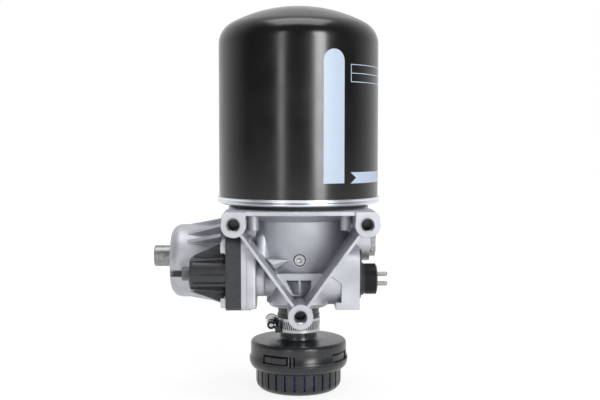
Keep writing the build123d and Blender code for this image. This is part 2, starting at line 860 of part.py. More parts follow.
# Governor piston, which lifts off its seat when the cut-off pressure is reached
piston_face = left_face - running_gap
piston_back = left_face - 2 - governor_piston_length
groove_width = 2.4
groove_depth = 1.6
with BuildPart() as governor_piston:
    extrude(disc(side_plane(piston_face), governor_centre, governor_valve_hole + 1.5),
            amount=piston_back - piston_face)
    extrude(disc(side_plane(left_face - 2), governor_centre, governor_bore - running_gap),
            amount=-governor_piston_length)
    seal_middle = left_face - 2 - governor_piston_length / 2
    extrude(washer(side_plane(seal_middle - groove_width / 2), governor_centre, governor_bore,
                   governor_bore - running_gap - groove_depth),
            amount=groove_width, mode=Mode.SUBTRACT)

# Sealing ring in the governor piston's groove
with BuildPart() as governor_seal:
    extrude(washer(side_plane(seal_middle - groove_width / 2 + bore_gap), governor_centre,
                   governor_bore - bore_gap,
                   governor_bore - running_gap - groove_depth + bore_gap),
            amount=groove_width - 2 * bore_gap)

# Spring seat, pushed in by the adjusting screw
seat_back = bore_end + 1.0
seat_front = seat_back + spring_seat_thickness
with BuildPart() as governor_spring_seat:
    extrude(disc(side_plane(seat_back), governor_centre, governor_bore - running_gap),
            amount=spring_seat_thickness)
with BuildPart() as governor_spring:
    spring_plane = Plane(origin=(seat_front, governor_depth, governor_level), z_dir=(1, 0, 0))
    add(coil_spring(spring_plane, governor_bore - 3.5, governor_spring_wire,
                    piston_back - seat_front, governor_spring_turns))
with BuildPart() as adjusting_screw:
    extrude(disc(side_plane(adjusting_screw_end), governor_centre, adjusting_screw_radius),
            amount=seat_back - adjusting_screw_end)
    slot_depth = 1.6
    with BuildSketch(side_plane(adjusting_screw_end)):
        with Locations(governor_centre):
            Rectangle(1.2, 2 * adjusting_screw_radius)
    extrude(amount=slot_depth, mode=Mode.SUBTRACT)
    chamfer(adjusting_screw.faces().sort_by(Axis.X)[0].edges().filter_by(GeomType.CIRCLE), 0.5)
with BuildPart() as adjusting_locknut:
    extrude(hexagon(side_plane(governor_barrel_end), governor_centre, locknut_flats,
                    adjusting_screw_radius + bore_gap, turn=90),
            amount=-locknut_height)


def cover_bolts(face, centre, y_pitch, z_pitch):
    """Four hexagon screws through a cover plate, with their heads on its face."""
    with BuildPart() as bolts:
        with BuildSketch(side_plane(face)):
            with Locations(centre):
                with GridLocations(y_pitch, z_pitch, 2, 2):
                    RegularPolygon(cover_bolt_flats / 2, 6, major_radius=False)
        extrude(amount=-cover_bolt_head)
        with BuildSketch(side_plane(face)):
            with Locations(centre):
                with GridLocations(y_pitch, z_pitch, 2, 2):
                    Circle(cover_bolt_flats / 2 + cover_bolt_collar)
        extrude(amount=-cover_bolt_collar_height)
        with BuildSketch(side_plane(face)):
            with Locations(centre):
                with GridLocations(y_pitch, z_pitch, 2, 2):
                    Circle(cover_bolt_radius - bore_gap)
        extrude(amount=cover_bolt_length)
    return bolts.part


with BuildPart() as governor_bolts:
    add(cover_bolts(governor_plate_face, governor_centre,
                    governor_bolt_y_pitch, governor_bolt_z_pitch))

# Pressure limiter cover, a die-cast cup with gussets down to its round flange
limiter_centre = (limiter_depth, limiter_level)
limiter_axis = Axis((0, *limiter_centre), (1, 0, 0))
cap_centre = (limiter_depth, limiter_level + limiter_cap_raise)
with BuildPart() as limiter_cover:
    with BuildSketch(side_plane(limiter_flange_face)):
        with Locations((limiter_depth, limiter_pad_level)):
            Circle(limiter_pad_radius)
            with GridLocations(2 * ear_reach, 2 * ear_reach, 2, 2):
                Circle(limiter_ear_radius)
    extrude(amount=limiter_flange_thickness)
    cup_rim = limiter_level + limiter_cup_radius
    with BuildSketch(front_plane(limiter_depth)):
        with BuildLine():
            top = Line((limiter_flange_face, cup_rim), (limiter_cup_end + limiter_cup_round, cup_rim))
            RadiusArc(top @ 1, (limiter_cup_end, cup_rim - limiter_cup_round), -limiter_cup_round)
            Polyline((limiter_cup_end, cup_rim - limiter_cup_round), (limiter_cup_end, limiter_level),
                     (limiter_flange_face, limiter_level), (limiter_flange_face, cup_rim))
        make_face()
    revolve(axis=limiter_axis)
    for quarter in range(0, 360, 90):
        add(blade(limiter_gusset_start, limiter_flange_face, limiter_bore, limiter_cup_radius,
                  limiter_gusset_reach, limiter_gusset_width, limiter_centre, quarter))
        for spread in (-limiter_ear_gusset_spread, limiter_ear_gusset_spread):
            add(blade(limiter_gusset_start, limiter_flange_face, limiter_bore, limiter_cup_radius,
                      limiter_ear_gusset_reach, limiter_gusset_width, limiter_centre,
                      quarter + 45 + spread))
    extrude(disc(side_plane(left_face), limiter_centre, limiter_bore),
            amount=limiter_cup_end + limiter_cup_wall + 1.5 - left_face, mode=Mode.SUBTRACT)
    extrude(disc(side_plane(limiter_cup_end), cap_centre, limiter_cap_spigot + bore_gap),
            amount=limiter_cup_wall + 2, mode=Mode.SUBTRACT)
    with BuildSketch(side_plane(left_face)):
        with Locations((limiter_depth, limiter_pad_level)):
            with GridLocations(2 * ear_reach, 2 * ear_reach, 2, 2):
                Circle(cover_bolt_radius)
    extrude(amount=-limiter_flange_thickness, mode=Mode.SUBTRACT)
    with BuildSketch(side_plane(limiter_flange_face)):
        with Locations((limiter_depth, limiter_pad_level)):
            with GridLocations(2 * ear_reach, 2 * ear_reach, 2, 2):
                Circle(limiter_ear_radius - 0.4)
    extrude(amount=-(cover_bolt_head + 3), mode=Mode.SUBTRACT)
    extrude(washer(side_plane(limiter_flange_face - 10), limiter_centre, limiter_cup_radius - 0.3,
                   limiter_bore), amount=11)

with BuildPart() as limiter_bolts:
    add(cover_bolts(limiter_flange_face, (limiter_depth, limiter_pad_level),
                    2 * ear_reach, 2 * ear_reach))

# Screwed steel cap on the end of the limiter cup
with BuildPart() as limiter_end_cap:
    extrude(disc(side_plane(limiter_cup_end), cap_centre, limiter_cap_radius),
            amount=-limiter_cap_length)
    chamfer(limiter_end_cap.faces().sort_by(Axis.X)[0].edges(), 0.8)
    extrude(disc(side_plane(limiter_cup_end), cap_centre, limiter_cap_spigot),
            amount=limiter_cup_wall + 1.5)

# Limiter piston with its stem on the seat, and the seal in its groove
limiter_piston_front = left_face - 5.0
limiter_piston_back = limiter_piston_front - limiter_piston_length
limiter_seal_middle = limiter_piston_front - limiter_piston_length / 2
with BuildPart() as limiter_piston:
    extrude(disc(side_plane(piston_face), limiter_centre, limiter_stem_radius),
            amount=limiter_piston_back - piston_face)
    extrude(disc(side_plane(limiter_piston_front), limiter_centre, limiter_bore - running_gap),
            amount=-limiter_piston_length)
    extrude(washer(side_plane(limiter_seal_middle - groove_width / 2), limiter_centre, limiter_bore,
                   limiter_bore - running_gap - groove_depth),
            amount=groove_width, mode=Mode.SUBTRACT)
with BuildPart() as limiter_seal:
    extrude(washer(side_plane(limiter_seal_middle - groove_width / 2 + bore_gap), limiter_centre,
                   limiter_bore - bore_gap,
                   limiter_bore - running_gap - groove_depth + bore_gap),
            amount=groove_width - 2 * bore_gap)
limiter_inner_end = limiter_cup_end + limiter_cup_wall + 1.5
with BuildPart() as limiter_spring:
    spring_plane = Plane(origin=(limiter_inner_end, *limiter_centre), z_dir=(1, 0, 0))
    add(coil_spring(spring_plane, limiter_bore * 0.65, limiter_spring_wire,
                    limiter_piston_back - limiter_inner_end, limiter_spring_turns))

# Heater flange, connector, pins and the heater rod in its blind bore
heater_centre = (stand_off, heater_level)
lobe_centre = (stand_off + heater_lobe_shift, heater_level + heater_lobe_rise)
connector_start = right_face + heater_flange_thickness
with BuildPart() as heater_flange:
    with BuildSketch(side_plane(right_face)):
        with Locations(heater_centre):
            Circle(heater_flange_radius)
        with Locations(lobe_centre):
            Circle(heater_lobe_radius)
        make_hull()
        with Locations(heater_centre):
            Circle(heater_rod_radius + bore_gap, mode=Mode.SUBTRACT)
    extrude(amount=heater_flange_thickness)
with BuildPart() as heater_connector:
    extrude(disc(side_plane(connector_start), heater_centre, connector_radius + 0.6),
            amount=connector_collar)
    extrude(disc(side_plane(connector_start), heater_centre, connector_radius),
            amount=connector_length)
    chamfer(heater_connector.faces().sort_by(Axis.X)[-1].edges(), connector_chamfer)
    connector_end = connector_start + connector_length
    extrude(disc(side_plane(connector_end), heater_centre, connector_recess_radius),
            amount=-connector_recess, mode=Mode.SUBTRACT)
    recess_floor = connector_end - connector_recess
    with BuildSketch(side_plane(recess_floor)):
        with Locations(heater_centre):
            with Locations((0, -pin_spacing / 2), (0, pin_spacing / 2)):
                Circle(pin_radius)
    extrude(amount=-connector_length / 2, mode=Mode.SUBTRACT)
with BuildPart() as heater_pins:
    pin_root = recess_floor - connector_length / 2
    with BuildSketch(side_plane(pin_root)):
        with Locations(heater_centre):
            with Locations((0, -pin_spacing / 2), (0, pin_spacing / 2)):
                Circle(pin_radius)
    extrude(amount=pin_end - pin_root)
    fillet(heater_pins.faces().group_by(Axis.X)[-1].edges(), pin_radius * 0.8)
with BuildPart() as heater_rod:
    extrude(disc(side_plane(connector_start), heater_centre, heater_rod_radius),
            amount=-(heater_flange_thickness + heater_rod_length))
    chamfer(heater_rod.faces().sort_by(Axis.X)[0].edges(), 0.8)

# Closed side port: hexagon plug on a sealing washer, and the press-in front plug
side_centre = (side_port_depth, side_port_level)
with BuildPart() as port_plug_seal:
    extrude(washer(side_plane(side_port_face), side_centre, side_plug_seal_radius,
                   port_drill_radius + bore_gap), amount=side_plug_seal)
with BuildPart() as port_plug:
    plug_face = side_port_face + side_plug_seal
    extrude(hexagon(side_plane(plug_face), side_centre, side_plug_flats, turn=90),
            amount=side_plug_head)
    extrude(disc(side_plane(plug_face), side_centre, port_drill_radius - bore_gap),
            amount=-(side_plug_seal + side_plug_shank))
with BuildPart() as front_sealing_plug:
    extrude(disc(front_plane(front_plug_face), (0, front_plug_level), front_plug_radius - bore_gap),
            amount=-front_plug_depth)
    extrude(disc(front_plane(front_plug_face), (0, front_plug_level), front_plug_dimple_radius),
            amount=-front_plug_dimple_depth, mode=Mode.SUBTRACT)

# Check valve behind the delivery port, seated on the clean air passage
check_centre = (0, delivery_level)
check_front = check_bore_end + running_gap
check_back = check_front + check_disc_thickness
check_ring_face = port_floor - check_ring_thickness
with BuildPart() as check_valve_disc:
    extrude(disc(back_plane(check_front), check_centre, check_bore_radius - running_gap),
            amount=check_disc_thickness)
    extrude(disc(back_plane(check_back), check_centre, check_stem_radius),
            amount=check_disc_thickness)
with BuildPart() as check_valve_spring:
    spring_plane = Plane(origin=(0, check_back, delivery_level), z_dir=(0, 1, 0))
    add(coil_spring(spring_plane, check_spring_radius, check_spring_wire,
                    check_ring_face - check_back, check_spring_turns))
with BuildPart() as check_valve_ring:
    extrude(washer(back_plane(check_ring_face), check_centre, check_bore_radius - bore_gap,
                   check_bore_radius - check_ring_width), amount=check_ring_thickness)

# Purge valve: control piston with its rod, rubber disc, seat, spring and guide
purge_seat_under = purge_seat_level - purge_seat_thickness
with BuildPart() as purge_valve_seat:
    extrude(washer(level_plane(purge_seat_under), (0, 0), exhaust_bore - bore_gap, purge_seat_hole),
            amount=purge_seat_thickness)
purge_disc_top = purge_seat_under - running_gap
purge_piston_top = purge_cylinder_top - 1.0
with BuildPart() as purge_piston:
    extrude(disc(level_plane(purge_piston_top), (0, 0), purge_cylinder_radius - running_gap),
            amount=-purge_piston_length)
    extrude(disc(level_plane(purge_piston_top), (0, 0), purge_rod_radius),
            amount=purge_disc_top - purge_piston_top)
with BuildPart() as purge_valve_disc:
    extrude(disc(level_plane(purge_disc_top), (0, 0), purge_disc_radius),
            amount=-purge_disc_thickness)
    fillet(purge_valve_disc.faces().sort_by(Axis.Z)[0].edges(), 0.8)
exhaust_flange_top = valve_body_bottom + exhaust_ring_groove + exhaust_ring_thickness + (
    exhaust_flange_thickness)
guide_top = exhaust_flange_top + guide_thickness
with BuildPart() as valve_guide:
    extrude(disc(level_plane(exhaust_flange_top), (0, 0), exhaust_bore - bore_gap),
            amount=guide_thickness)
    with BuildSketch(level_plane(exhaust_flange_top)):
        with PolarLocations((exhaust_bore + purge_spring_radius) / 2, 6):
            Circle(4.5)
    extrude(amount=guide_thickness, mode=Mode.SUBTRACT)
with BuildPart() as purge_valve_spring:
    purge_disc_bottom = purge_disc_top - purge_disc_thickness
    add(coil_spring(level_plane(guide_top), purge_spring_radius, purge_spring_wire,
                    purge_disc_bottom - guide_top, purge_spring_turns))

# Exhaust neck held in the housing by a snap ring
ring_under = valve_body_bottom + exhaust_ring_groove
with BuildPart() as exhaust_neck:
    extrude(washer(level_plane(exhaust_flange_top), (0, 0), exhaust_bore - bore_gap,
                   silencer_neck_radius + bore_gap), amount=-exhaust_flange_thickness)
    extrude(washer(level_plane(exhaust_flange_top), (0, 0), exhaust_neck_radius,
                   silencer_neck_radius + bore_gap),
            amount=exhaust_neck_bottom - exhaust_flange_top)
    neck_bead_level = exhaust_neck_bottom + clamp_width + 1.6
    with BuildSketch(level_plane(neck_bead_level)):
        Circle(exhaust_neck_radius + 0.6)
        Circle(exhaust_neck_radius - 0.5, mode=Mode.SUBTRACT)
    extrude(amount=1.2)
    extrude(disc(level_plane(exhaust_flange_top), (0, 0), silencer_neck_radius - 3.0),
            amount=silencer_neck_top - exhaust_flange_top, mode=Mode.SUBTRACT)
with BuildPart() as exhaust_retaining_ring:
    with BuildSketch(level_plane(ring_under)):
        Circle(exhaust_bore + exhaust_ring_groove - bore_gap)
        Circle(exhaust_bore - 3.0, mode=Mode.SUBTRACT)
        with Locations((0, exhaust_bore)):
            Rectangle(14.0, 12.0, mode=Mode.SUBTRACT)
    extrude(amount=exhaust_ring_thickness)

# Worm drive hose clamp round the foot of the neck
clamp_bottom = exhaust_neck_bottom - 0.2
clamp_top = clamp_bottom + clamp_width
clamp_outer = exhaust_neck_radius + bore_gap + clamp_band_thickness
clamp_middle = (clamp_bottom + clamp_top) / 2
clamp_screw_x = -(clamp_outer + clamp_screw_radius + 1.4)
with BuildPart() as clamp_band:
    extrude(washer(level_plane(clamp_bottom), (0, 0), clamp_outer, exhaust_neck_radius + bore_gap),
            amount=clamp_width)
screw_front = stand_off - clamp_screw_length / 2
with BuildPart() as clamp_housing:
    with BuildSketch(front_plane(stand_off - 6.0)):
        with Locations((clamp_screw_x + 0.7, clamp_middle)):
            RectangleRounded(2 * clamp_screw_radius + 4.4, clamp_width, 2.6)
    extrude(amount=-12.0)
    extrude(disc(level_plane(clamp_bottom - 1), (0, 0), clamp_outer), amount=clamp_width + 2,
            mode=Mode.SUBTRACT)
    extrude(disc(front_plane(screw_front), (clamp_screw_x, clamp_middle),
                 clamp_screw_radius + bore_gap),
            amount=-clamp_screw_length, mode=Mode.SUBTRACT)
with BuildPart() as clamp_screw:
    screw_centre = (clamp_screw_x, clamp_middle)
    extrude(disc(front_plane(screw_front), screw_centre, clamp_screw_radius),
            amount=-clamp_screw_length)
    extrude(hexagon(front_plane(screw_front), screw_centre, 2 * clamp_screw_head_radius - 1.2),
            amount=clamp_screw_head_length)
    with BuildSketch(front_plane(screw_front - clamp_screw_head_length)):
        with Locations(screw_centre):
            Rectangle(1.2, 2 * clamp_screw_head_radius)
    extrude(amount=-1.8, mode=Mode.SUBTRACT)


def ring_sector(inner, outer, start, sweep):
    """Sector of a ring about the cartridge axis, measured from the front."""
    with BuildSketch(Plane.XY) as face:
        with BuildLine():
            first = radians(start - 90)
            last = radians(start + sweep - 90)
            middle = (first + last) / 2
            near = Line((inner * cos(first), inner * sin(first)),
                        (outer * cos(first), outer * sin(first)))
            ThreePointArc(near @ 1, (outer * cos(middle), outer * sin(middle)),
                          (outer * cos(last), outer * sin(last)))
            Line((outer * cos(last), outer * sin(last)), (inner * cos(last), inner * sin(last)))
            ThreePointArc((inner * cos(last), inner * sin(last)),
                          (inner * cos(middle), inner * sin(middle)), near @ 0)
        make_face()
    return face.sketch


# Silencer cover with its neck, latch windows and the slits of the latch arms
silencer_neck_fillet = 1.6
with BuildPart() as silencer_cover:
    with BuildSketch(front_plane(stand_off)):
        with BuildLine():
            outer_wall = silencer_radius
            top_edge = silencer_top + 0.6
            Polyline((silencer_neck_bore, silencer_neck_top), (silencer_neck_radius, silencer_neck_top),
                     (silencer_neck_radius, top_edge + silencer_neck_fillet),
                     (silencer_neck_radius + silencer_neck_fillet, top_edge),
                     (outer_wall - silencer_round, silencer_top))
            RadiusArc((outer_wall - silencer_round, silencer_top),
                      (outer_wall, silencer_top - silencer_round), silencer_round)
            Polyline((outer_wall, silencer_top - silencer_round),
                     (outer_wall, bulge_level + bulge_height),
                     (bulge_radius, bulge_level + bulge_height / 2),
                     (bulge_radius, bulge_level - bulge_height / 2),
                     (skirt_radius, skirt_level), (silencer_joint_radius, silencer_joint),
                     (silencer_joint_radius - silencer_wall + 1, silencer_joint),
                     (skirt_radius - silencer_wall, skirt_level + 1),
                     (bulge_radius - silencer_wall, bulge_level - bulge_height / 2),
                     (outer_wall - silencer_wall, bulge_level + bulge_height),
                     (outer_wall - silencer_wall, silencer_top - silencer_round),
                     (outer_wall - silencer_wall - 1.5, silencer_top - silencer_wall),
                     (silencer_neck_bore, silencer_top - silencer_wall),
                     (silencer_neck_bore, silencer_neck_top))
        make_face()
    revolve(axis=cartridge_axis)
    for step in range(latch_count):
        centre = latch_first + step * 360 / latch_count
        window = ring_sector(silencer_radius - 4, bulge_radius + 2,
                             centre - latch_angle / 2, latch_angle)
        extrude(Pos(0, stand_off, latch_bottom) * window, amount=latch_top - latch_bottom,
                mode=Mode.SUBTRACT)
        for slit in (2.0, 6.5):
            cut = ring_sector(silencer_radius - 4, bulge_radius + 2,
                              centre + latch_angle / 2 + slit, 1.6)
            extrude(Pos(0, stand_off, latch_bottom - 1) * cut,
                    amount=latch_top - latch_bottom + 1, mode=Mode.SUBTRACT)

# Slotted cage with four arms, whose hooks snap into the windows of the cover
cage_top = silencer_joint + cage_rim_height
hook_bottom = latch_bottom + 0.4
arm_top = hook_bottom + hook_depth
with BuildPart() as silencer_cage:
    with BuildSketch(front_plane(stand_off)):
        with BuildLine():
            inner = cage_radius - cage_wall
            inner_round = cage_round - cage_wall
            inner_floor = cage_bottom + cage_wall
            rim = silencer_joint_radius - silencer_wall + 1 - running_gap
            hook_radius = silencer_radius - silencer_wall - running_gap
            Polyline((0, cage_bottom), (cage_radius - cage_round, cage_bottom))
            RadiusArc((cage_radius - cage_round, cage_bottom),
                      (cage_radius, cage_bottom + cage_round), -cage_round)
            Polyline((cage_radius, cage_bottom + cage_round),
                     (cage_radius, silencer_joint - running_gap),
                     (rim, silencer_joint - running_gap), (rim, hook_bottom),
                     (hook_radius, hook_bottom), (rim, arm_top), (inner, arm_top),
                     (inner, inner_floor + inner_round))
            RadiusArc((inner, inner_floor + inner_round), (inner - inner_round, inner_floor),
                      inner_round)
            Polyline((inner - inner_round, inner_floor), (0, inner_floor), (0, cage_bottom))
        make_face()
    revolve(axis=cartridge_axis)
    for step in range(latch_count):
        arm_end = latch_first + step * 360 / latch_count + latch_angle / 2 - 2
        between = ring_sector(inner - 2, hook_radius + 2, arm_end,
                              360 / latch_count - latch_angle + 4)
        extrude(Pos(0, stand_off, cage_top) * between, amount=arm_top - cage_top,
                mode=Mode.SUBTRACT)
    with BuildSketch(level_plane(slot_bottom)):
        with PolarLocations((inner + cage_radius) / 2, slot_count,
                            start_angle=-90 + 180 / slot_count):
            Rectangle(2 * cage_wall + 4, slot_width)
    extrude(amount=slot_top - slot_bottom, mode=Mode.SUBTRACT)

# Knitted damping ring behind the slots, and the baffle over it
with BuildPart() as silencer_mesh:
    with BuildSketch(front_plane(stand_off)):
        with BuildLine():
            mesh_outer = inner - running_gap
            mesh_round = inner_round - running_gap
            mesh_floor = inner_floor + running_gap
            side = Line((mesh_outer, cage_top), (mesh_outer, mesh_floor + mesh_round))
            RadiusArc(side @ 1, (mesh_outer - mesh_round, mesh_floor), mesh_round)
            Polyline((mesh_outer - mesh_round, mesh_floor),
                     (mesh_outer - mesh_round - mesh_thickness, mesh_floor),
                     (mesh_outer - mesh_thickness, mesh_floor + mesh_round),
                     (mesh_outer - mesh_thickness, cage_top), (mesh_outer, cage_top))
        make_face()
    revolve(axis=cartridge_axis)
with BuildPart() as silencer_baffle:
    extrude(disc(level_plane(cage_top), (0, 0), inner - 1.0), amount=baffle_thickness)
    with BuildSketch(level_plane(cage_top)):
        with PolarLocations(baffle_radius / 2, 8):
            Circle(2.0)
    extrude(amount=baffle_thickness, mode=Mode.SUBTRACT)

pieces = {
    "canister_shell": canister_shell,
    "canister_rim": canister_rim,
    "canister_base_plate": canister_base_plate,
    "canister_gasket": canister_gasket,
    "canister_stud": canister_stud,
    "canister_spring": canister_spring,
    "coalescing_filter": coalescing_filter,
    "desiccant_cup": desiccant_cup,
    "desiccant_bed": desiccant_bed,
    "lower_sieve_plate": lower_sieve_plate,
    "upper_sieve_plate": upper_sieve_plate,
    "housing": housing,
    "front_sealing_plug": front_sealing_plug,
    "governor_cover": governor_cover,
    "governor_bolts": governor_bolts,
    "governor_piston": governor_piston,
    "governor_seal": governor_seal,
    "governor_spring": governor_spring,
    "governor_spring_seat": governor_spring_seat,
    "adjusting_screw": adjusting_screw,
    "adjusting_locknut": adjusting_locknut,
    "limiter_cover": limiter_cover,
    "limiter_bolts": limiter_bolts,
    "limiter_end_cap": limiter_end_cap,
    "limiter_piston": limiter_piston,
    "limiter_seal": limiter_seal,
    "limiter_spring": limiter_spring,
    "heater_flange": heater_flange,
    "heater_connector": heater_connector,
    "heater_pins": heater_pins,
    "heater_rod": heater_rod,
    "port_plug": port_plug,
    "port_plug_seal": port_plug_seal,
    "check_valve_disc": check_valve_disc,
    "check_valve_spring": check_valve_spring,
    "check_valve_ring": check_valve_ring,
    "purge_piston": purge_piston,
    "purge_valve_disc": purge_valve_disc,
    "purge_valve_seat": purge_valve_seat,
    "purge_valve_spring": purge_valve_spring,
    "valve_guide": valve_guide,
    "exhaust_neck": exhaust_neck,
    "exhaust_retaining_ring": exhaust_retaining_ring,
    "clamp_band": clamp_band,
    "clamp_housing": clamp_housing,
    "clamp_screw": clamp_screw,
    "silencer_cover": silencer_cover,
    "silencer_cage": silencer_cage,
    "silencer_mesh": silencer_mesh,
    "silencer_baffle": silencer_baffle,
}
for name, piece in pieces.items():
    piece.part.label = name
    export_step(piece.part, f"parts/{name}.step")
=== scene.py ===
from math import asin, atan2, cos, pi, radians, sin, sqrt, tau

import bmesh
import bpy
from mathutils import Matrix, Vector


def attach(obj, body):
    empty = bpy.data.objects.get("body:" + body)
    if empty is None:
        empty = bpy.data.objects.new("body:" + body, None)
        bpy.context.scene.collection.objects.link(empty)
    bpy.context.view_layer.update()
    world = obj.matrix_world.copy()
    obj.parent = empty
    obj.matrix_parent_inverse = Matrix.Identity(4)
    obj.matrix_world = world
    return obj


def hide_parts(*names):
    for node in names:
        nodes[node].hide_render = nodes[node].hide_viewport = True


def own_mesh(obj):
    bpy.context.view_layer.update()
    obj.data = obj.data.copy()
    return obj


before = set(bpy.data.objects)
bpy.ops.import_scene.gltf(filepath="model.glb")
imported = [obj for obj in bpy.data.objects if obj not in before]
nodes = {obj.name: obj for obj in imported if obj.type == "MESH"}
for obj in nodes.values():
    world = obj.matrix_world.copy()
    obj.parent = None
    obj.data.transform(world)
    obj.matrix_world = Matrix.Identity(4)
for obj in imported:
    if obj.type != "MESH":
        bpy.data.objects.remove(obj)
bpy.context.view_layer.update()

# Cartridge can. Thin steel, deep drawn with a domed crown and painted in gloss black
# enamel. The shape is turned about its upright axis, finer than the CAD facets, so that
# the gloss runs smoothly round it.
MM = 0.001
stand_off = 75.0
can_radius = 68.0
can_wall = 1.5
can_foot = 19.3
shoulder_height = 148.0
shoulder_radius = 20.0
crown_height = 180.0
can_facets = 160


def linear(hex_colour):
    """Linear red, green, blue and alpha of an sRGB hex value."""
    channels = [int(hex_colour[i:i + 2], 16) / 255 for i in (1, 3, 5)]
    return [c / 12.92 if c <= 0.04045 else ((c + 0.055) / 1.055) ** 2.4 for c in channels] + [1.0]


def connect(node, links):
    """Links sockets of a node to the outputs that feed them."""
    for socket, source in links.items():
        node.id_data.links.new(source, node.inputs[socket])


def add_node(tree, kind, settings=None, links=None):
    """A shader node with its settings, by socket, property or ramp stops, and its links."""
    node = tree.nodes.new("ShaderNode" + kind)
    for name, value in (settings or {}).items():
        if name == "stops":
            for stop, (position, colour) in zip(node.color_ramp.elements, value):
                stop.position = position
                stop.color = linear(colour)
        elif isinstance(name, str) and hasattr(node, name):
            setattr(node, name, value)
        else:
            node.inputs[name].default_value = value
    connect(node, links or {})
    return node


def new_finish(name, settings):
    """A material, its node tree, its Principled shader and the place on the piece.

    The settings are the shader's plain values, which the patterns of the finish then vary.
    """
    finish = bpy.data.materials.new(name)
    finish.use_nodes = True
    tree = finish.node_tree
    shader = tree.nodes["Principled BSDF"]
    for socket, value in settings.items():
        shader.inputs[socket].default_value = value
    return finish, tree, shader, add_node(tree, "TexCoord").outputs["Object"]


def wear(finish, *names):
    """Gives CAD nodes their finish."""
    for name in names:
        mesh = nodes[name].data
        mesh.materials.clear()
        mesh.materials.append(finish)


def object_from(shape, name, finish):
    """Makes an object of a bmesh, in one finish."""
    mesh = bpy.data.meshes.new(name)
    shape.to_mesh(mesh)
    shape.free()
    mesh.materials.append(finish)
    made = bpy.data.objects.new(name, mesh)
    bpy.context.scene.collection.objects.link(made)
    return made


def piece_from(shape, name, finish, body, slot, sharp, *replaced):
    """Makes a piece of a bmesh and says what carries it and which CAD nodes it replaces.

    It is shaded smooth, except at edges sharper than an angle in degrees, or all flat
    where that angle is None.
    """
    piece = object_from(shape, name, finish)
    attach(piece, body)
    if replaced:
        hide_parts(*replaced)
    if sharp is not None:
        piece.data.shade_smooth()
        piece.data.set_sharp_from_angle(angle=radians(sharp))
    return piece


def square_axes(axis, upright=None):
    """Unit vectors along an axis, square to it (upright, where that is given) and to both."""
    along = Vector(axis).normalized()
    across = Vector(upright).normalized() if upright else along.orthogonal().normalized()
    return along, across, along.cross(across)


def turned(profile, origin, axis, segments, closed=True):
    """Surface turned from a profile of (radius, height) in millimetres about an axis."""
    along, across, third = square_axes(axis)
    shape = bmesh.new()
    rings = []
    for radius, height in profile:
        count = segments if radius else 1
        rings.append([
            shape.verts.new((Vector(origin) + along * height
                             + radius * (across * cos(tau * i / count)
                                         + third * sin(tau * i / count))) * MM)
            for i in range(count)
        ])
    pairs = list(zip(rings, rings[1:]))
    if closed:
        pairs.append((rings[-1], rings[0]))
    for low, high in pairs:
        for i in range(segments):
            j = (i + 1) % segments
            corners = dict.fromkeys([low[i % len(low)], low[j % len(low)],
                                     high[j % len(high)], high[i % len(high)]])
            if len(corners) > 2:
                shape.faces.new(list(corners))
    bmesh.ops.recalc_face_normals(shape, faces=shape.faces)
    return shape


def arc(centre, radius, start, end, steps):
    """Points of an arc in a profile, from one angle to another in degrees."""
    return [
        (centre[0] + radius * cos(radians(start + (end - start) * i / steps)),
         centre[1] + radius * sin(radians(start + (end - start) * i / steps)))
        for i in range(steps + 1)
    ]


def can_profile(inset):
    """Half section of the can from its foot to the crown, drawn in by an inset."""
    radius = can_radius - inset
    corner = shoulder_radius - inset
    crown = crown_height - inset
    flat = radius - corner
    rise = crown - shoulder_height
    dome = (flat**2 + rise**2 - corner**2) / (2 * (rise - corner))
    meeting = 90 - atan2(flat, dome - rise) * 180 / pi
    shoulder = arc((flat, shoulder_height), corner, 0, meeting, 14)
    crown_arc = arc((0, crown - dome), dome, meeting, 90, 24)
    return [(radius, can_foot)] + shoulder + crown_arc[1:-1] + [(0, crown)]


# Baked enamel, sprayed and cured: near black, glossy, with a faint orange peel that
# softens its reflections.
enamel, tree, shader, place = new_finish("black baked enamel", {
    "Base Color": linear("#0c0c0d"), "Roughness": 0.24, "IOR": 1.52, "Coat Weight": 0.1,
    "Coat Roughness": 0.14,
})
peel = add_node(tree, "TexNoise", {"Scale": 1 / (2.5 * MM), "Detail": 1.0}, {"Vector": place})
dust = add_node(tree, "TexNoise", {"Scale": 1 / (30 * MM), "Detail": 4.0}, {"Vector": place})
haze = add_node(tree, "MapRange",
                {"From Min": 0.3, "From Max": 0.75, "To Min": 0.20, "To Max": 0.30},
                {"Value": dust.outputs["Fac"]})
bump = add_node(tree, "Bump", {"Strength": 0.03, "Distance": 0.1 * MM},
                {"Height": peel.outputs["Fac"]})
connect(shader, {"Roughness": haze.outputs["Result"], "Normal": bump.outputs["Normal"]})

can_section = can_profile(0) + can_profile(can_wall)[::-1]
piece_from(turned(can_section, (0, stand_off, 0), (0, 0, 1), can_facets, closed=False),
           "cartridge_can", enamel, "dryer", "black_enamel", 40, "canister_shell")

# Print on the can. A pale blue strip with a rounded top, a ribbon with notched ends and
# a ruled box left blank, screen printed in thin ink on the enamel.
ink_height = 0.12
ink_root = 0.1
strip_angles = (15.6, 31.3)
strip_heights = (32.3, 139.1)
strip_edge_rise = 0.2
ribbon_angles = (36.7, 128.0)
ribbon_heights = (32.0, 41.0)
ribbon_notch = 6.2
ribbon_sliver = 0.001
box_angles = (36.8, 80.0)
box_heights = (113.6, 127.4)
box_rule = 0.6

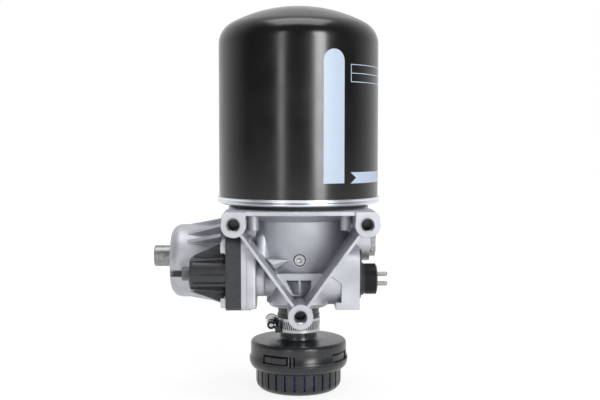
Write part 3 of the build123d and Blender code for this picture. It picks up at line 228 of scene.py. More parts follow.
# Screen ink: matt and slightly uneven, with the same print colour all over.
ink, tree, shader, place = new_finish("pale blue screen ink", {
    "Base Color": linear("#b4c3d6"), "Roughness": 0.42, "IOR": 1.5,
})
grain = add_node(tree, "TexNoise", {"Scale": 1 / (1.2 * MM), "Detail": 3.0}, {"Vector": place})
tone = add_node(tree, "ValToRGB", {"stops": [(0.0, "#aebed2"), (1.0, "#bccadb")]},
                {"Fac": grain.outputs["Fac"]})
bump = add_node(tree, "Bump", {"Strength": 0.05, "Distance": 0.05 * MM},
                {"Height": grain.outputs["Fac"]})
connect(shader, {"Base Color": tone.outputs["Color"], "Normal": bump.outputs["Normal"]})


def round_can(radius, turn, height):
    """Place round the can's upright axis, at an angle from the front in radians."""
    return radius * sin(turn) * MM, (stand_off - radius * cos(turn)) * MM, height * MM


def skinned(shape, loops, capped=True):
    """Walls a bmesh between each loop of its points and the next, and caps the two ends."""
    for low, high in zip(loops, loops[1:]):
        for i in range(len(low)):
            j = (i + 1) % len(low)
            shape.faces.new([low[i], low[j], high[j], high[i]])
    if capped:
        shape.faces.new(loops[0])
        shape.faces.new(loops[-1])
    bmesh.ops.recalc_face_normals(shape, faces=shape.faces)
    return shape


def printed_patch(name, angles, outline, steps):
    """Ink laid on the can between two angles; outline gives its foot and top at an angle."""
    shape = bmesh.new()
    columns = []
    for i in range(steps + 1):
        angle = angles[0] + (angles[1] - angles[0]) * i / steps
        foot, top = outline(angle)
        columns.append([
            shape.verts.new(round_can(can_radius + rise, radians(angle), height))
            for rise, height in ((ink_height, foot), (ink_height, top),
                                 (-ink_root, top), (-ink_root, foot))
        ])
    piece_from(skinned(shape, columns), name, ink, "dryer", "black_enamel", 30)


def strip_outline(angle):
    """Straight foot and a rounded top."""
    middle = sum(strip_angles) / 2
    half = can_radius * radians(strip_angles[1] - strip_angles[0]) / 2
    across = can_radius * radians(angle - middle)
    rounding = sqrt(max(strip_edge_rise**2, half**2 - across**2))
    return strip_heights[0], strip_heights[1] - half + rounding


notch_reach = ribbon_notch / can_radius * 180 / pi


def half_tail(tip, foot):
    """Outline of half a notched end, from its slanted cut to one edge of the ribbon."""
    middle = sum(ribbon_heights) / 2

    def outline(angle):
        """Both edges at an angle, a sliver apart where they would meet."""
        share = min(1 - ribbon_sliver, abs(angle - tip) / notch_reach + ribbon_sliver)
        cut = foot + (middle - foot) * share
        return min(foot, cut), max(foot, cut)

    return outline


printed_patch("printed_strip", strip_angles, strip_outline, 40)
for edge, (tip, sign) in enumerate(zip(ribbon_angles, (1, -1))):
    for half, foot in enumerate(ribbon_heights):
        printed_patch(f"printed_ribbon_end_{edge}_{half}", sorted((tip, tip + sign * notch_reach)),
                      half_tail(tip, foot), 6)
printed_patch("printed_ribbon", (ribbon_angles[0] + notch_reach, ribbon_angles[1] - notch_reach),
              lambda angle: ribbon_heights, 48)
for k in range(3):
    level = box_heights[0] + (box_heights[1] - box_heights[0]) * k / 2
    printed_patch(f"printed_box_rule_{k}", box_angles,
                  lambda angle: (level - box_rule / 2, level + box_rule / 2), 24)
rule_angle = box_rule / can_radius * 180 / pi
for k, side in enumerate(box_angles):
    printed_patch(f"printed_box_side_{k}", (side, side + rule_angle), lambda angle: box_heights, 2)

# Crimp ring that seams the can to its base plate. Steel, rolled over and galvanised,
# with a waist between its foot bead and the lip under the can.
rim_radius = 70.0
rim_inner = 62.0
rim_bottom = 13.5
rim_top = 19.3
rim_bead = 1.9
rim_lip = 0.7

# Galvanised and polished steel: a bright zinc skin whose rolling marks run round the ring.
zinc_skin, tree, shader, place = new_finish("galvanised rolled steel", {
    "Metallic": 1.0, "Base Color": linear("#e4e9ee"), "Roughness": 0.3,
})
streaks = add_node(tree, "Mapping", {"Scale": (1.0, 1.0, 30.0)}, {"Vector": place})
rolling = add_node(tree, "TexNoise", {"Scale": 1 / (12 * MM), "Detail": 3.0},
                   {"Vector": streaks.outputs["Vector"]})
gloss = add_node(tree, "MapRange", {"To Min": 0.24, "To Max": 0.36},
                 {"Value": rolling.outputs["Fac"]})
connect(shader, {"Roughness": gloss.outputs["Result"]})

rim_profile = (
    arc((rim_radius - 2.4, rim_bottom + rim_bead), rim_bead, -90, 20, 8)
    + arc((rim_radius + 0.6, rim_bottom + 3.9), rim_bead, 205, 155, 5)
    + arc((rim_radius - rim_lip, rim_top - rim_lip), rim_lip, -30, 90, 5)
    + [(rim_inner, rim_top), (rim_inner, rim_bottom)]
)
piece_from(turned(rim_profile, (0, stand_off, 0), (0, 0, 1), can_facets),
           "crimp_ring", zinc_skin, "dryer", "galvanised_steel", 35, "canister_rim")
wear(zinc_skin, "canister_base_plate")

# Inside of the cartridge: rubber seat ring, stud, spring, felt filter, nylon cup and
# sieves, and the bed of desiccant beads. All of it is hidden by the can. The same rubber,
# steel and nylon are in the valves below.

# Moulded nitrile rubber: dark grey, matt, with a dusty bloom.
rubber, tree, shader, place = new_finish("moulded nitrile rubber", {
    "Base Color": linear("#3a3b3d"), "Roughness": 0.6, "IOR": 1.5,
})
bloom = add_node(tree, "TexNoise", {"Scale": 1 / (6 * MM), "Detail": 5.0}, {"Vector": place})
tone = add_node(tree, "ValToRGB", {"stops": [(0.0, "#343537"), (1.0, "#4a4b4e")]},
                {"Fac": bloom.outputs["Fac"]})
connect(shader, {"Base Color": tone.outputs["Color"]})
wear(rubber, "canister_gasket", "governor_seal", "limiter_seal", "check_valve_disc",
     "purge_valve_disc")

# Drawn and turned steel: bright, with fine tool marks.
bright_steel, tree, shader, place = new_finish("turned bright steel", {
    "Metallic": 1.0, "Base Color": linear("#a9abae"), "Roughness": 0.28,
})
marks = add_node(tree, "TexNoise", {"Scale": 1 / (0.8 * MM), "Detail": 2.0}, {"Vector": place})
bump = add_node(tree, "Bump", {"Strength": 0.15, "Distance": 0.05 * MM},
                {"Height": marks.outputs["Fac"]})
connect(shader, {"Normal": bump.outputs["Normal"]})
wear(bright_steel, "canister_stud", "canister_spring", "governor_spring_seat", "heater_rod",
     "check_valve_ring", "exhaust_retaining_ring")

# Wound glass-fibre felt: off-white and fuzzy, its fibres matted about 0.8 mm apart.
felt, tree, shader, place = new_finish("wound fibre felt", {
    "Base Color": linear("#d8d4c6"), "Roughness": 0.95, "Sheen Weight": 0.3,
})
fibres = add_node(tree, "TexNoise", {"Scale": 1 / (0.8 * MM), "Detail": 6.0, "Distortion": 1.5},
                  {"Vector": place})
bump = add_node(tree, "Bump", {"Strength": 0.6, "Distance": 0.3 * MM},
                {"Height": fibres.outputs["Fac"]})
connect(shader, {"Normal": bump.outputs["Normal"]})
wear(felt, "coalescing_filter")

# Natural nylon, moulded: milky white with a satin skin.
white_nylon, tree, shader, place = new_finish("moulded natural nylon", {
    "Base Color": linear("#d9d8cf"), "Roughness": 0.45, "IOR": 1.53,
    "Subsurface Weight": 0.1, "Subsurface Radius": (1.0 * MM, 1.0 * MM, 0.8 * MM),
})
skin = add_node(tree, "TexNoise", {"Scale": 1 / (1.5 * MM), "Detail": 2.0}, {"Vector": place})
bump = add_node(tree, "Bump", {"Strength": 0.08, "Distance": 0.05 * MM},
                {"Height": skin.outputs["Fac"]})
connect(shader, {"Normal": bump.outputs["Normal"]})
wear(white_nylon, "desiccant_cup", "lower_sieve_plate", "upper_sieve_plate", "valve_guide")

# Molecular sieve: dry ceramic beads about 2 mm across.
beads, tree, shader, place = new_finish("ceramic desiccant beads", {
    "Base Color": linear("#e2dac8"), "Roughness": 0.85,
})
cells = add_node(tree, "TexVoronoi", {"Scale": 1 / (2 * MM)}, {"Vector": place})
bump = add_node(tree, "Bump", {"Strength": 1.0, "Distance": 0.8 * MM, "invert": True},
                {"Height": cells.outputs["Distance"]})
connect(shader, {"Normal": bump.outputs["Normal"]})
wear(beads, "desiccant_bed")

# Springs of the governor, the limiter, the purge valve and the check valve. Coiled from
# bright steel wire between a fixed seat and the valve, which squeezes them as it lifts.
wire_gap = 0.05
wire_sides = 14
steps_per_turn = 40
governor_axis = (27.0, -41.5)
limiter_axis = (80.0, -37.0)


def coil(name, start, axis, mean_radius, wire, length, turns):
    """Spring of wire of a radius, from its fixed end to the valve that lifts by a travel."""
    along, across, third = square_axes(axis)
    steps = turns * steps_per_turn
    rise = length - 2 * wire
    shape = bmesh.new()
    rings = []
    for step in range(steps + 1):
        turn = tau * turns * step / steps
        outward = across * cos(turn) + third * sin(turn)
        centre = Vector(start) + along * (wire + rise * step / steps) + outward * mean_radius
        rings.append([
            shape.verts.new((centre + (wire - wire_gap)
                             * (outward * cos(tau * i / wire_sides)
                                + along * sin(tau * i / wire_sides))) * MM)
            for i in range(wire_sides)
        ])
    spring = piece_from(skinned(shape, rings), name + "_coil", bright_steel, "dryer",
                        "bright_steel", 50, name)
    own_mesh(spring)


coil("governor_spring", (-79.6, *governor_axis), (1, 0, 0),
     7.0, 0.9, 20.1, 5)
coil("limiter_spring", (-104.6, *limiter_axis), (1, 0, 0),
     18.2, 1.7, 44.1, 5)
coil("purge_valve_spring", (0, stand_off, -68.9), (0, 0, 1),
     6.5, 0.6, 7.0, 3)
coil("check_valve_spring", (0, 120.4, -16.0), (0, -1, 0),
     5.4, 0.6, 13.7, 4)

# Housing and limiter cover. Aluminium, pressure die-cast and then bead blasted to an
# even silver grey; only the boss faces and ports are machined.
cast_grit = 0.45

# Blasted casting: a fine pebbled skin that scatters light, clouded in two greys, with
# the cast edges rounded. Its pits are drawn coarser than real, to show.
casting, tree, shader, place = new_finish("bead blasted die-cast aluminium", {
    "Metallic": 0.7, "Base Color": linear("#bec0c5"), "Roughness": 0.5,
})
grit = add_node(tree, "TexNoise", {"Scale": 1 / (cast_grit * MM), "Detail": 2.0},
                {"Vector": place})
cloud = add_node(tree, "TexNoise", {"Scale": 1 / (22 * MM), "Detail": 3.0}, {"Vector": place})
tone = add_node(tree, "ValToRGB", {"stops": [(0.3, "#b3b5bb"), (0.7, "#c8cad0")]},
                {"Fac": cloud.outputs["Fac"]})
rounded = add_node(tree, "Bevel", {"samples": 6, "Radius": 0.9 * MM})
bump = add_node(tree, "Bump", {"Strength": 0.25, "Distance": 0.12 * MM},
                {"Height": grit.outputs["Fac"], "Normal": rounded.outputs["Normal"]})
connect(shader, {"Base Color": tone.outputs["Color"], "Normal": bump.outputs["Normal"]})
wear(casting, "housing", "limiter_cover")

# Threads of the mounting holes and ports. Cut by a tap in the casting, so the crests
# catch the light as a helix inside each hole.
hole_half = 53.0
lower_hole_drop = 73.0
narrow_bore = (5.25, 4.55, 1.5)
wide_bore = (10.25, 9.6, 1.5)
thread_gap = 0.05
thread_back = 0.1

# Freshly cut aluminium: brighter and smoother than the blasted skin.
cut_aluminium, tree, shader, place = new_finish("machined aluminium", {
    "Metallic": 1.0, "Base Color": linear("#b9bbbe"), "Roughness": 0.3,
})
tooling = add_node(tree, "TexNoise", {"Scale": 1 / (0.6 * MM), "Detail": 2.0}, {"Vector": place})
gloss = add_node(tree, "MapRange", {"To Min": 0.22, "To Max": 0.4},
                 {"Value": tooling.outputs["Fac"]})
connect(shader, {"Roughness": gloss.outputs["Result"]})
wear(cut_aluminium, "governor_piston", "limiter_piston", "purge_piston", "purge_valve_seat")


def helix(origin, axis, root, crest, back, pitch, length, segments):
    """Screw thread about an axis, from its start along its length, in millimetres.

    The ridge runs at the crest radius between flanks that end at the root, and a wall at
    the back radius closes it, inside for a screw or outside for a nut.
    """
    along, across, third = square_axes(axis)
    section = ((root, 0.02), (crest, 0.42), (crest, 0.58), (root, 0.98),
               (back, 0.98), (back, 0.02))
    shape = bmesh.new()
    rings = []
    for step in range(int(length / pitch) * segments + 1):
        turn = tau * step / segments
        outward = across * cos(turn) + third * sin(turn)
        rise = pitch * (step / segments)
        rings.append([
            shape.verts.new((Vector(origin) + along * (rise + part * pitch)
                             + outward * radius) * MM)
            for radius, part in section
        ])
    return skinned(shape, rings)


tapped_holes = (
    ("mounting_thread_left", (-hole_half, 1.0, 0), (0, 1, 0), narrow_bore, 19.5),
    ("mounting_thread_right", (hole_half, 1.0, 0), (0, 1, 0), narrow_bore, 19.5),
    ("mounting_thread_lower", (0, 1.0, -lower_hole_drop), (0, 1, 0), narrow_bore, 19.5),
    ("inlet_thread", (0, 136.6, -56), (0, -1, 0), wide_bore, 13.5),
    ("delivery_thread", (0, 136.6, -16), (0, -1, 0), wide_bore, 13.5),
    ("regeneration_thread", (38, 109.6, -56), (0, -1, 0), narrow_bore, 9.5),
)
for name, start, axis, (wall, crest, pitch), length in tapped_holes:
    piece_from(helix(start, axis, wall - thread_gap, crest, wall + thread_back, pitch, length, 40),
               name, cut_aluminium, "dryer", "machined_aluminium", 30)

# Mouths of the mounting holes. A countersink takes the burr off each thread, and a spot
# face round it seats the washer of the bracket's screw.
mouth_profile = [(6.4, 0.02), (6.4, -0.05), (6.2, -0.08), (5.45, -0.08), (4.75, 0.7), (4.75, 1.1),
                 (5.24, 1.1), (5.24, 0.02)]
mouth_places = {"left": (-hole_half, 0, 0), "right": (hole_half, 0, 0),
                "lower": (0, 0, -lower_hole_drop)}
for side, start in mouth_places.items():
    piece_from(turned(mouth_profile, start, (0, 1, 0), 64), f"mounting_hole_mouth_{side}",
               cut_aluminium, "dryer", "machined_aluminium", 20)

# Sealing plug in the front of the bowl. A turned aluminium plug, staked at its centre and
# pressed into a drilling on a ring of dark sealing compound.
plug_place = (0, 35.0, -32.0)
plug_profile = [(0, -6.9), (5.15, -6.9), (5.15, -1.2), (4.45, -1.2), (4.45, -0.2), (4.2, 0.0),
                (2.0, 0.0), (1.8, -0.1), (1.3, -1.3), (0.7, -1.5), (0.5, -0.9), (0, -0.8)]
compound_profile = [(4.4, -1.1), (5.19, -1.1), (5.19, -0.1), (4.4, -0.2)]
piece_from(turned(plug_profile, plug_place, (0, -1, 0), 64, closed=False), "bowl_sealing_plug",
           cut_aluminium, "dryer", "machined_aluminium", 25, "front_sealing_plug")
piece_from(turned(compound_profile, plug_place, (0, -1, 0), 64), "bowl_plug_compound",
           rubber, "dryer", "seat_rubber", 30)

# Thickened parts of the casting: the neck behind the governor's flange, the back of that
# flange, and the wedge that ties the pillar beside it to the bowl. Cast in one with the
# housing.
neck_place = (-38.4, 31.0, -45.6)
neck_disc = [(0, 0), (12.3, 0)] + arc((12.3, 2.2), 2.2, -90, 0, 6) + [(14.9, 5.0)] + arc(
    (12.3, 7.8), 2.2, 0, 90, 6) + [(0, 10.0)]
slab_centre = (-39.7, 27.0, -44.2)
slab_size = (9.0, 29.0, 49.4)
slab_rounding = 2.2
wedge_corners = ((-27.0, 33.5, -30.8), (-20.5, 34.5, -39.4), (-23.0, 32.2, -34.8),
                 (-7.6, 35.4, -31.6), (-27.0, 48.0, -30.0), (-20.0, 48.0, -42.5),
                 (-8.0, 38.0, -31.4))
piece_from(turned(neck_disc, neck_place, (1, 0, 0), 96, closed=False),
           "governor_flange_neck", casting, "dryer", "cast_aluminium", 40)
shape = bmesh.new()
bmesh.ops.create_cube(shape, size=1.0)
for vertex in shape.verts:
    vertex.co = Vector([middle + size * share for middle, size, share
                        in zip(slab_centre, slab_size, vertex.co)]) * MM
bmesh.ops.bevel(shape, geom=shape.edges[:], offset=slab_rounding * MM, segments=5, profile=0.5,
                affect="EDGES")
piece_from(shape, "governor_flange_back", casting, "dryer", "cast_aluminium", 40)
shape = bmesh.new()
for corner in wedge_corners:
    shape.verts.new(Vector(corner) * MM)
bmesh.ops.convex_hull(shape, input=shape.verts)
bmesh.ops.recalc_face_normals(shape, faces=shape.faces)
piece_from(shape, "bowl_wedge", casting, "dryer", "cast_aluminium", None)

# Governor cover and exhaust neck. Glass-filled nylon moulded in black. Three fins are
# moulded with the cover and rise from its end to its plate.
fin_angles = (-52, 0, 52)
fin_foot = 12.4
fin_crests = ((-88.6, 13.9), (-87.6, 14.6), (-61.0, 17.6))
fin_foot_half = 0.8
fin_crest_half = 0.45

# Glass-filled nylon: charcoal with a satin, faintly mottled skin from the fibres.
glass_nylon, tree, shader, place = new_finish("black glass-filled nylon", {
    "Base Color": linear("#2c2d30"), "Roughness": 0.45, "IOR": 1.53,
})
mottle = add_node(tree, "TexNoise", {"Scale": 1 / (4 * MM), "Detail": 6.0, "Distortion": 0.6},
                  {"Vector": place})
tone = add_node(tree, "ValToRGB", {"stops": [(0.3, "#27282b"), (0.7, "#333438")]},
                {"Fac": mottle.outputs["Fac"]})
gloss = add_node(tree, "MapRange", {"To Min": 0.3, "To Max": 0.46},
                 {"Value": mottle.outputs["Fac"]})
rounded = add_node(tree, "Bevel", {"samples": 6, "Radius": 0.6 * MM})
bump = add_node(tree, "Bump", {"Strength": 0.12, "Distance": 0.08 * MM},
                {"Height": mottle.outputs["Fac"], "Normal": rounded.outputs["Normal"]})
connect(shader, {"Base Color": tone.outputs["Color"], "Roughness": gloss.outputs["Result"],
                 "Normal": bump.outputs["Normal"]})
wear(glass_nylon, "governor_cover", "exhaust_neck")


def joined(shapes):
    """One bmesh made of several."""
    whole = bmesh.new()
    for shape in shapes:
        carrier = bpy.data.meshes.new("carrier")
        shape.to_mesh(carrier)
        shape.free()
        whole.from_mesh(carrier)
        bpy.data.meshes.remove(carrier)
    return whole


def cover_fin(angle):
    """Fin that tapers to its crest, at an angle from the front about the governor's axis."""
    outward = Vector((0, -cos(radians(angle)), sin(radians(angle))))
    sideways = Vector((0, sin(radians(angle)), cos(radians(angle))))
    shape = bmesh.new()
    return skinned(shape, [
        [shape.verts.new((Vector((x, *governor_axis)) + outward * reach + sideways * half) * MM)
         for reach, half in ((fin_foot, -fin_foot_half), (crest, -fin_crest_half),
                             (crest, fin_crest_half), (fin_foot, fin_foot_half))]
        for x, crest in fin_crests])


piece_from(joined([cover_fin(angle) for angle in fin_angles]), "governor_cover_fins",
           glass_nylon, "dryer", "black_nylon", None)

# Screws of both side covers, end cap and side plug. Steel, cold headed or turned, and
# zinc plated. Each screw has a washer face under its hexagon head and goes through a
# cover into the casting.
bolt_head = 4.0
bolt_flats = 10.0
bolt_collar = 5.8
bolt_collar_height = 1.0
bolt_collar_edge = 0.5
bolt_collar_slope = 0.3
bolt_shank = 2.9
bolt_length = 18.0
hexagon_steps = 60
hexagon_top = 0.96
corner_slope = 0.5
governor_plate_face = -60.0
governor_screws_half = (9.5, 21.2)
limiter_plate_face = -58.5
limiter_screws_centre = (80.0, -39.0)
limiter_ear_reach = 41.0

# Zinc plate: silvery with a bluish tint and soft cloudy reflections.
zinc_plate, tree, shader, place = new_finish("bright zinc plate", {
    "Metallic": 1.0, "Base Color": linear("#c4c6c8"), "Roughness": 0.3,
})
cloud = add_node(tree, "TexNoise", {"Scale": 1 / (5 * MM), "Detail": 4.0}, {"Vector": place})
tone = add_node(tree, "ValToRGB", {"stops": [(0.0, "#b4b7ba"), (1.0, "#cfd0d0")]},
                {"Fac": cloud.outputs["Fac"]})
gloss = add_node(tree, "MapRange", {"To Min": 0.22, "To Max": 0.42},
                 {"Value": cloud.outputs["Fac"]})
rounded = add_node(tree, "Bevel", {"samples": 6, "Radius": 0.35 * MM})
connect(shader, {"Base Color": tone.outputs["Color"], "Roughness": gloss.outputs["Result"],
                 "Normal": rounded.outputs["Normal"]})

# Dull zinc plate on turned parts: greyer, with fine tool marks under the plating.
dull_zinc, tree, shader, place = new_finish("dull zinc plate on turned steel", {
    "Metallic": 1.0, "Base Color": linear("#8d8f8f"), "Roughness": 0.4,
})
marks = add_node(tree, "TexNoise", {"Scale": 1 / (2.5 * MM), "Detail": 5.0}, {"Vector": place})
tone = add_node(tree, "ValToRGB", {"stops": [(0.3, "#7f8181"), (0.7, "#a2a4a3")]},
                {"Fac": marks.outputs["Fac"]})
gloss = add_node(tree, "MapRange", {"To Min": 0.3, "To Max": 0.5}, {"Value": marks.outputs["Fac"]})
rounded = add_node(tree, "Bevel", {"samples": 6, "Radius": 0.4 * MM})
connect(shader, {"Base Color": tone.outputs["Color"], "Roughness": gloss.outputs["Result"],
                 "Normal": rounded.outputs["Normal"]})
wear(dull_zinc, "limiter_end_cap", "port_plug")


def hexagon_body(origin, axis, upright, flats, foot, head, ease):
    """Hexagonal head or nut with its corners turned off at the top, and at the foot if eased."""
    along, across, third = square_axes(axis, upright)
    inner = flats / 2 * hexagon_top
    turns = [tau * i / hexagon_steps for i in range(hexagon_steps)]
    hexagon = [flats / 2 / cos(radians((360 * i / hexagon_steps) % 60 - 30))
               for i in range(hexagon_steps)]
    drop = [(radius - inner) * corner_slope for radius in hexagon]
    rings = [([inner] * hexagon_steps, [foot] * hexagon_steps)] if ease else []
    rings += [
        (hexagon, [foot + (d if ease else 0) for d in drop]),
        (hexagon, [head - d for d in drop]),
        ([inner] * hexagon_steps, [head] * hexagon_steps),
    ]
    shape = bmesh.new()
    return skinned(shape, [
        [shape.verts.new((Vector(origin) + along * height
                          + radius * (across * cos(turn) + third * sin(turn))) * MM)
         for turn, radius, height in zip(turns, radii, heights)]
        for radii, heights in rings])


def flanged_screws(face, centre, half_y, half_z):
    """Four hexagon screws with washer faces, round a centre, which point into a cover."""
    shank_and_collar = [
        (0, -bolt_length), (bolt_shank, -bolt_length), (bolt_shank, 0), (bolt_collar, 0),
        (bolt_collar, bolt_collar_edge), (bolt_collar - bolt_collar_slope, bolt_collar_height),
        (0, bolt_collar_height)]
    shapes = []
    for y, z in ((y, z) for y in (-half_y, half_y) for z in (-half_z, half_z)):
        origin = (face, centre[0] + y, centre[1] + z)
        shapes.append(hexagon_body(origin, (-1, 0, 0), (0, 0, 1), bolt_flats,
                                   bolt_collar_height, bolt_head, False))
        shapes.append(turned(shank_and_collar, origin, (-1, 0, 0), 48, closed=False))
    return joined(shapes)


piece_from(flanged_screws(governor_plate_face, governor_axis, *governor_screws_half),
           "governor_cover_screws", zinc_plate, "dryer", "zinc_plate", 25, "governor_bolts")
limiter_ear = limiter_ear_reach * sin(radians(45))
piece_from(flanged_screws(limiter_plate_face, limiter_screws_centre, limiter_ear, limiter_ear),
           "limiter_cover_screws", zinc_plate, "dryer", "zinc_plate", 25, "limiter_bolts")

# Hose clamp. A worm drive clamp: a zinc plated band with slots pressed across it, which
# the screw in its housing winds tight round the neck.
band_inner = 17.8
band_outer = 18.6
band_bottom = -97.2
band_width = 11.6
slot_count = 62
slot_edges = (0.0, 0.42, 0.5, 0.92)
slot_rows = (0.0, 2.3, 2.6, 9.0, 9.3, band_width)
slot_depth = 0.7
slot_lean = 0.012
slot_shade_depths = (0.6, 0.15)

# Zinc plate of the band: bright on the crests, with painted shade in the pressed slots.
band_zinc, tree, shader, place = new_finish("zinc plated band", {
    "Metallic": 1.0, "Base Color": linear("#b9bbbd"), "Roughness": 0.32,
})
offset = add_node(tree, "VectorMath", {"operation": "MULTIPLY_ADD", 1: (1.0, 1.0, 0.0),
                                       2: (0.0, -stand_off * MM, 0.0)}, {"Vector": place})
reach = add_node(tree, "VectorMath", {"operation": "LENGTH"}, {"Vector": offset.outputs["Vector"]})
# The band is drawn darker the deeper it lies below its crests, as painted shade in the slots.
depth = add_node(tree, "MapRange", {"From Min": (band_outer - slot_shade_depths[0]) * MM,
                                    "From Max": (band_outer - slot_shade_depths[1]) * MM},
                 {"Value": reach.outputs["Value"]})
tone = add_node(tree, "ValToRGB", {"stops": [(0.0, "#38393b"), (1.0, "#bcbec0")]},
                {"Fac": depth.outputs["Result"]})
connect(shader, {"Base Color": tone.outputs["Color"]})

shape = bmesh.new()
columns = []
for slot in range(slot_count):
    for edge, share in enumerate(slot_edges):
        turn = tau * (slot + share) / slot_count
        column = []
        for k, rise in enumerate(slot_rows):
            radius = band_outer - (slot_depth if edge >= 2 and 2 <= k <= 3 else 0.0)
            lean = slot_lean * (rise - band_width / 2)
            column.append(shape.verts.new(round_can(radius, turn + lean, band_bottom + rise)))
        for rise in (band_width, 0.0):
            column.append(shape.verts.new(round_can(band_inner, turn, band_bottom + rise)))
        columns.append(column)
piece_from(skinned(shape, columns + columns[:1], capped=False), "clamp_band_slotted",
           band_zinc, "dryer", "zinc_plate", 25, "clamp_band")

# The clamp's housing is a folded steel strip with a foot, zinc plated and drawn dark as painted
# shade. Its screw lies in it across the band, tip to the front, and its hexagon head stands behind
# under a hood.
clamp_axis = (-23.6, -91.0)
barrel_radii = (2.75, 3.55)
barrel_turn = (110, 440)
barrel_span = (62.5, 66.5)
hood_radii = (4.8, 5.3)
hood_turn = (-80, 50)
hood_span = (86.0, 89.4)
front_foot = [(-21.6, -93.2), (-19.9, -92.2), (-15.6, -92.2), (-15.6, -97.6), (-20.2, -97.6),
              (-20.2, -95.4)]
front_foot_span = (63.0, 67.0)
long_foot = [(-20.0, -86.8), (-15.6, -86.8), (-15.6, -96.2), (-20.0, -96.2)]
long_foot_span = (72.0, 88.0)
clamp_screw_tip = 61.6
clamp_thread_start = 63.4
clamp_thread = {"root": 2.0, "crest": 2.7, "back": 1.6, "pitch": 1.8, "length": 10.0}
clamp_head_face = 85.0
clamp_head_flats = 7.0
clamp_head_height = 4.0
clamp_screw_profile = [(0, 0), (1.5, 0), (2.1, 0.7), (2.1, 12.4), (3.2, 13.6), (4.5, 22.4),
                       (4.5, 23.2), (3.9, 23.6), (0, 23.6)]

# Dark steel as painted shade on the zinc plated housing: dark grey and half dull, with lighter
# rubbed patches.
shade_dark_steel, tree, shader, place = new_finish("painted shade clamp steel", {
    "Metallic": 0.7, "Base Color": linear("#3a3b3d"), "Roughness": 0.4,
})
patches = add_node(tree, "TexNoise", {"Scale": 1 / (2 * MM), "Detail": 3.0}, {"Vector": place})
tone = add_node(tree, "ValToRGB", {"stops": [(0.0, "#2c2d2f"), (1.0, "#4b4c4e")]},
                {"Fac": patches.outputs["Fac"]})
rounded = add_node(tree, "Bevel", {"samples": 6, "Radius": 0.25 * MM})
connect(shader, {"Base Color": tone.outputs["Color"], "Normal": rounded.outputs["Normal"]})


def bent_strip(radii, angles, span, steps):
    """Strip bent round the clamp screw's axis, between two angles from straight up."""
    (inner, outer), (start, end), (near, far) = radii, angles, span
    shape = bmesh.new()
    sections = []
    for i in range(steps + 1):
        turn = radians(start + (end - start) * i / steps)
        sections.append([
            shape.verts.new(((clamp_axis[0] + radius * sin(turn)) * MM, level * MM,
                             (clamp_axis[1] + radius * cos(turn)) * MM))
            for radius, level in ((inner, near), (outer, near), (outer, far), (inner, far))
        ])
    return skinned(shape, sections)


def folded_foot(corners, span):
    """Plate of a cross-section of (x, z) corners, between two depths."""
    shape = bmesh.new()
    return skinned(shape, [[shape.verts.new((x * MM, level * MM, z * MM)) for x, z in corners]
                           for level in span])


housing_shapes = [
    bent_strip(barrel_radii, barrel_turn, barrel_span, 48),
    bent_strip(hood_radii, hood_turn, hood_span, 30),
    folded_foot(front_foot, front_foot_span),
    folded_foot(long_foot, long_foot_span),
]
piece_from(joined(housing_shapes), "clamp_housing_folded", shade_dark_steel, "dryer", "zinc_plate", 30,
           "clamp_housing")
screw_shapes = [
    turned(clamp_screw_profile, (clamp_axis[0], clamp_screw_tip, clamp_axis[1]), (0, 1, 0), 48,
           closed=False),
    helix((clamp_axis[0], clamp_thread_start, clamp_axis[1]), (0, 1, 0), segments=32,
          **clamp_thread),
    hexagon_body((clamp_axis[0], clamp_head_face, clamp_axis[1]), (0, 1, 0), (0, 0, 1),
                 clamp_head_flats, 0, clamp_head_height, False),
]
piece_from(joined(screw_shapes), "clamp_screw_threaded", zinc_plate, "dryer", "zinc_plate", 30,
           "clamp_screw")

# Governor adjusting screw and its locknut. Steel, rolled thread, blackened in a hot
# oxide bath, with a screwdriver slot in its end.
barrel_end = -89.6
locknut_flats = 10.0
locknut_height = 6.4
screw_tip = -105.3
screw_foot = -82.6
screw_shoulder = -85.0
screw_crest = 3.0
screw_root = 2.4
screw_pitch = 1.0
screw_slot = (1.2, 1.6)
tip_ease = 0.35
tip_steps = 24

# Black oxide: dark and slightly oily, worn lighter in patches.
black_oxide, tree, shader, place = new_finish("black oxide on steel", {
    "Metallic": 0.8, "Base Color": linear("#57585b"), "Roughness": 0.38,
})
patches = add_node(tree, "TexNoise", {"Scale": 1 / (1.5 * MM), "Detail": 3.0}, {"Vector": place})
tone = add_node(tree, "ValToRGB", {"stops": [(0.0, "#47484b"), (1.0, "#77787b")]},
                {"Fac": patches.outputs["Fac"]})
connect(shader, {"Base Color": tone.outputs["Color"]})


def split_tip(origin, axis, upright, radius, slot):
    """Two halves of a round tip, with a screwdriver slot of a width and depth between them."""
    along, across, third = square_axes(axis, upright)
    width, depth = slot
    lean = asin(width / 2 / radius)
    turns = [lean + (pi - 2 * lean) * i / tip_steps for i in range(tip_steps + 1)]
    shape = bmesh.new()
    for side in (1, -1):
        skinned(shape, [
            [shape.verts.new((Vector(origin) + along * rise
                              + side * (across * (radius - inset) * sin(turn)
                                        + third * (radius - inset) * cos(turn))) * MM)
             for turn in turns]
            for rise, inset in ((0, 0.0), (depth - tip_ease, 0.0), (depth, tip_ease))])
    return shape


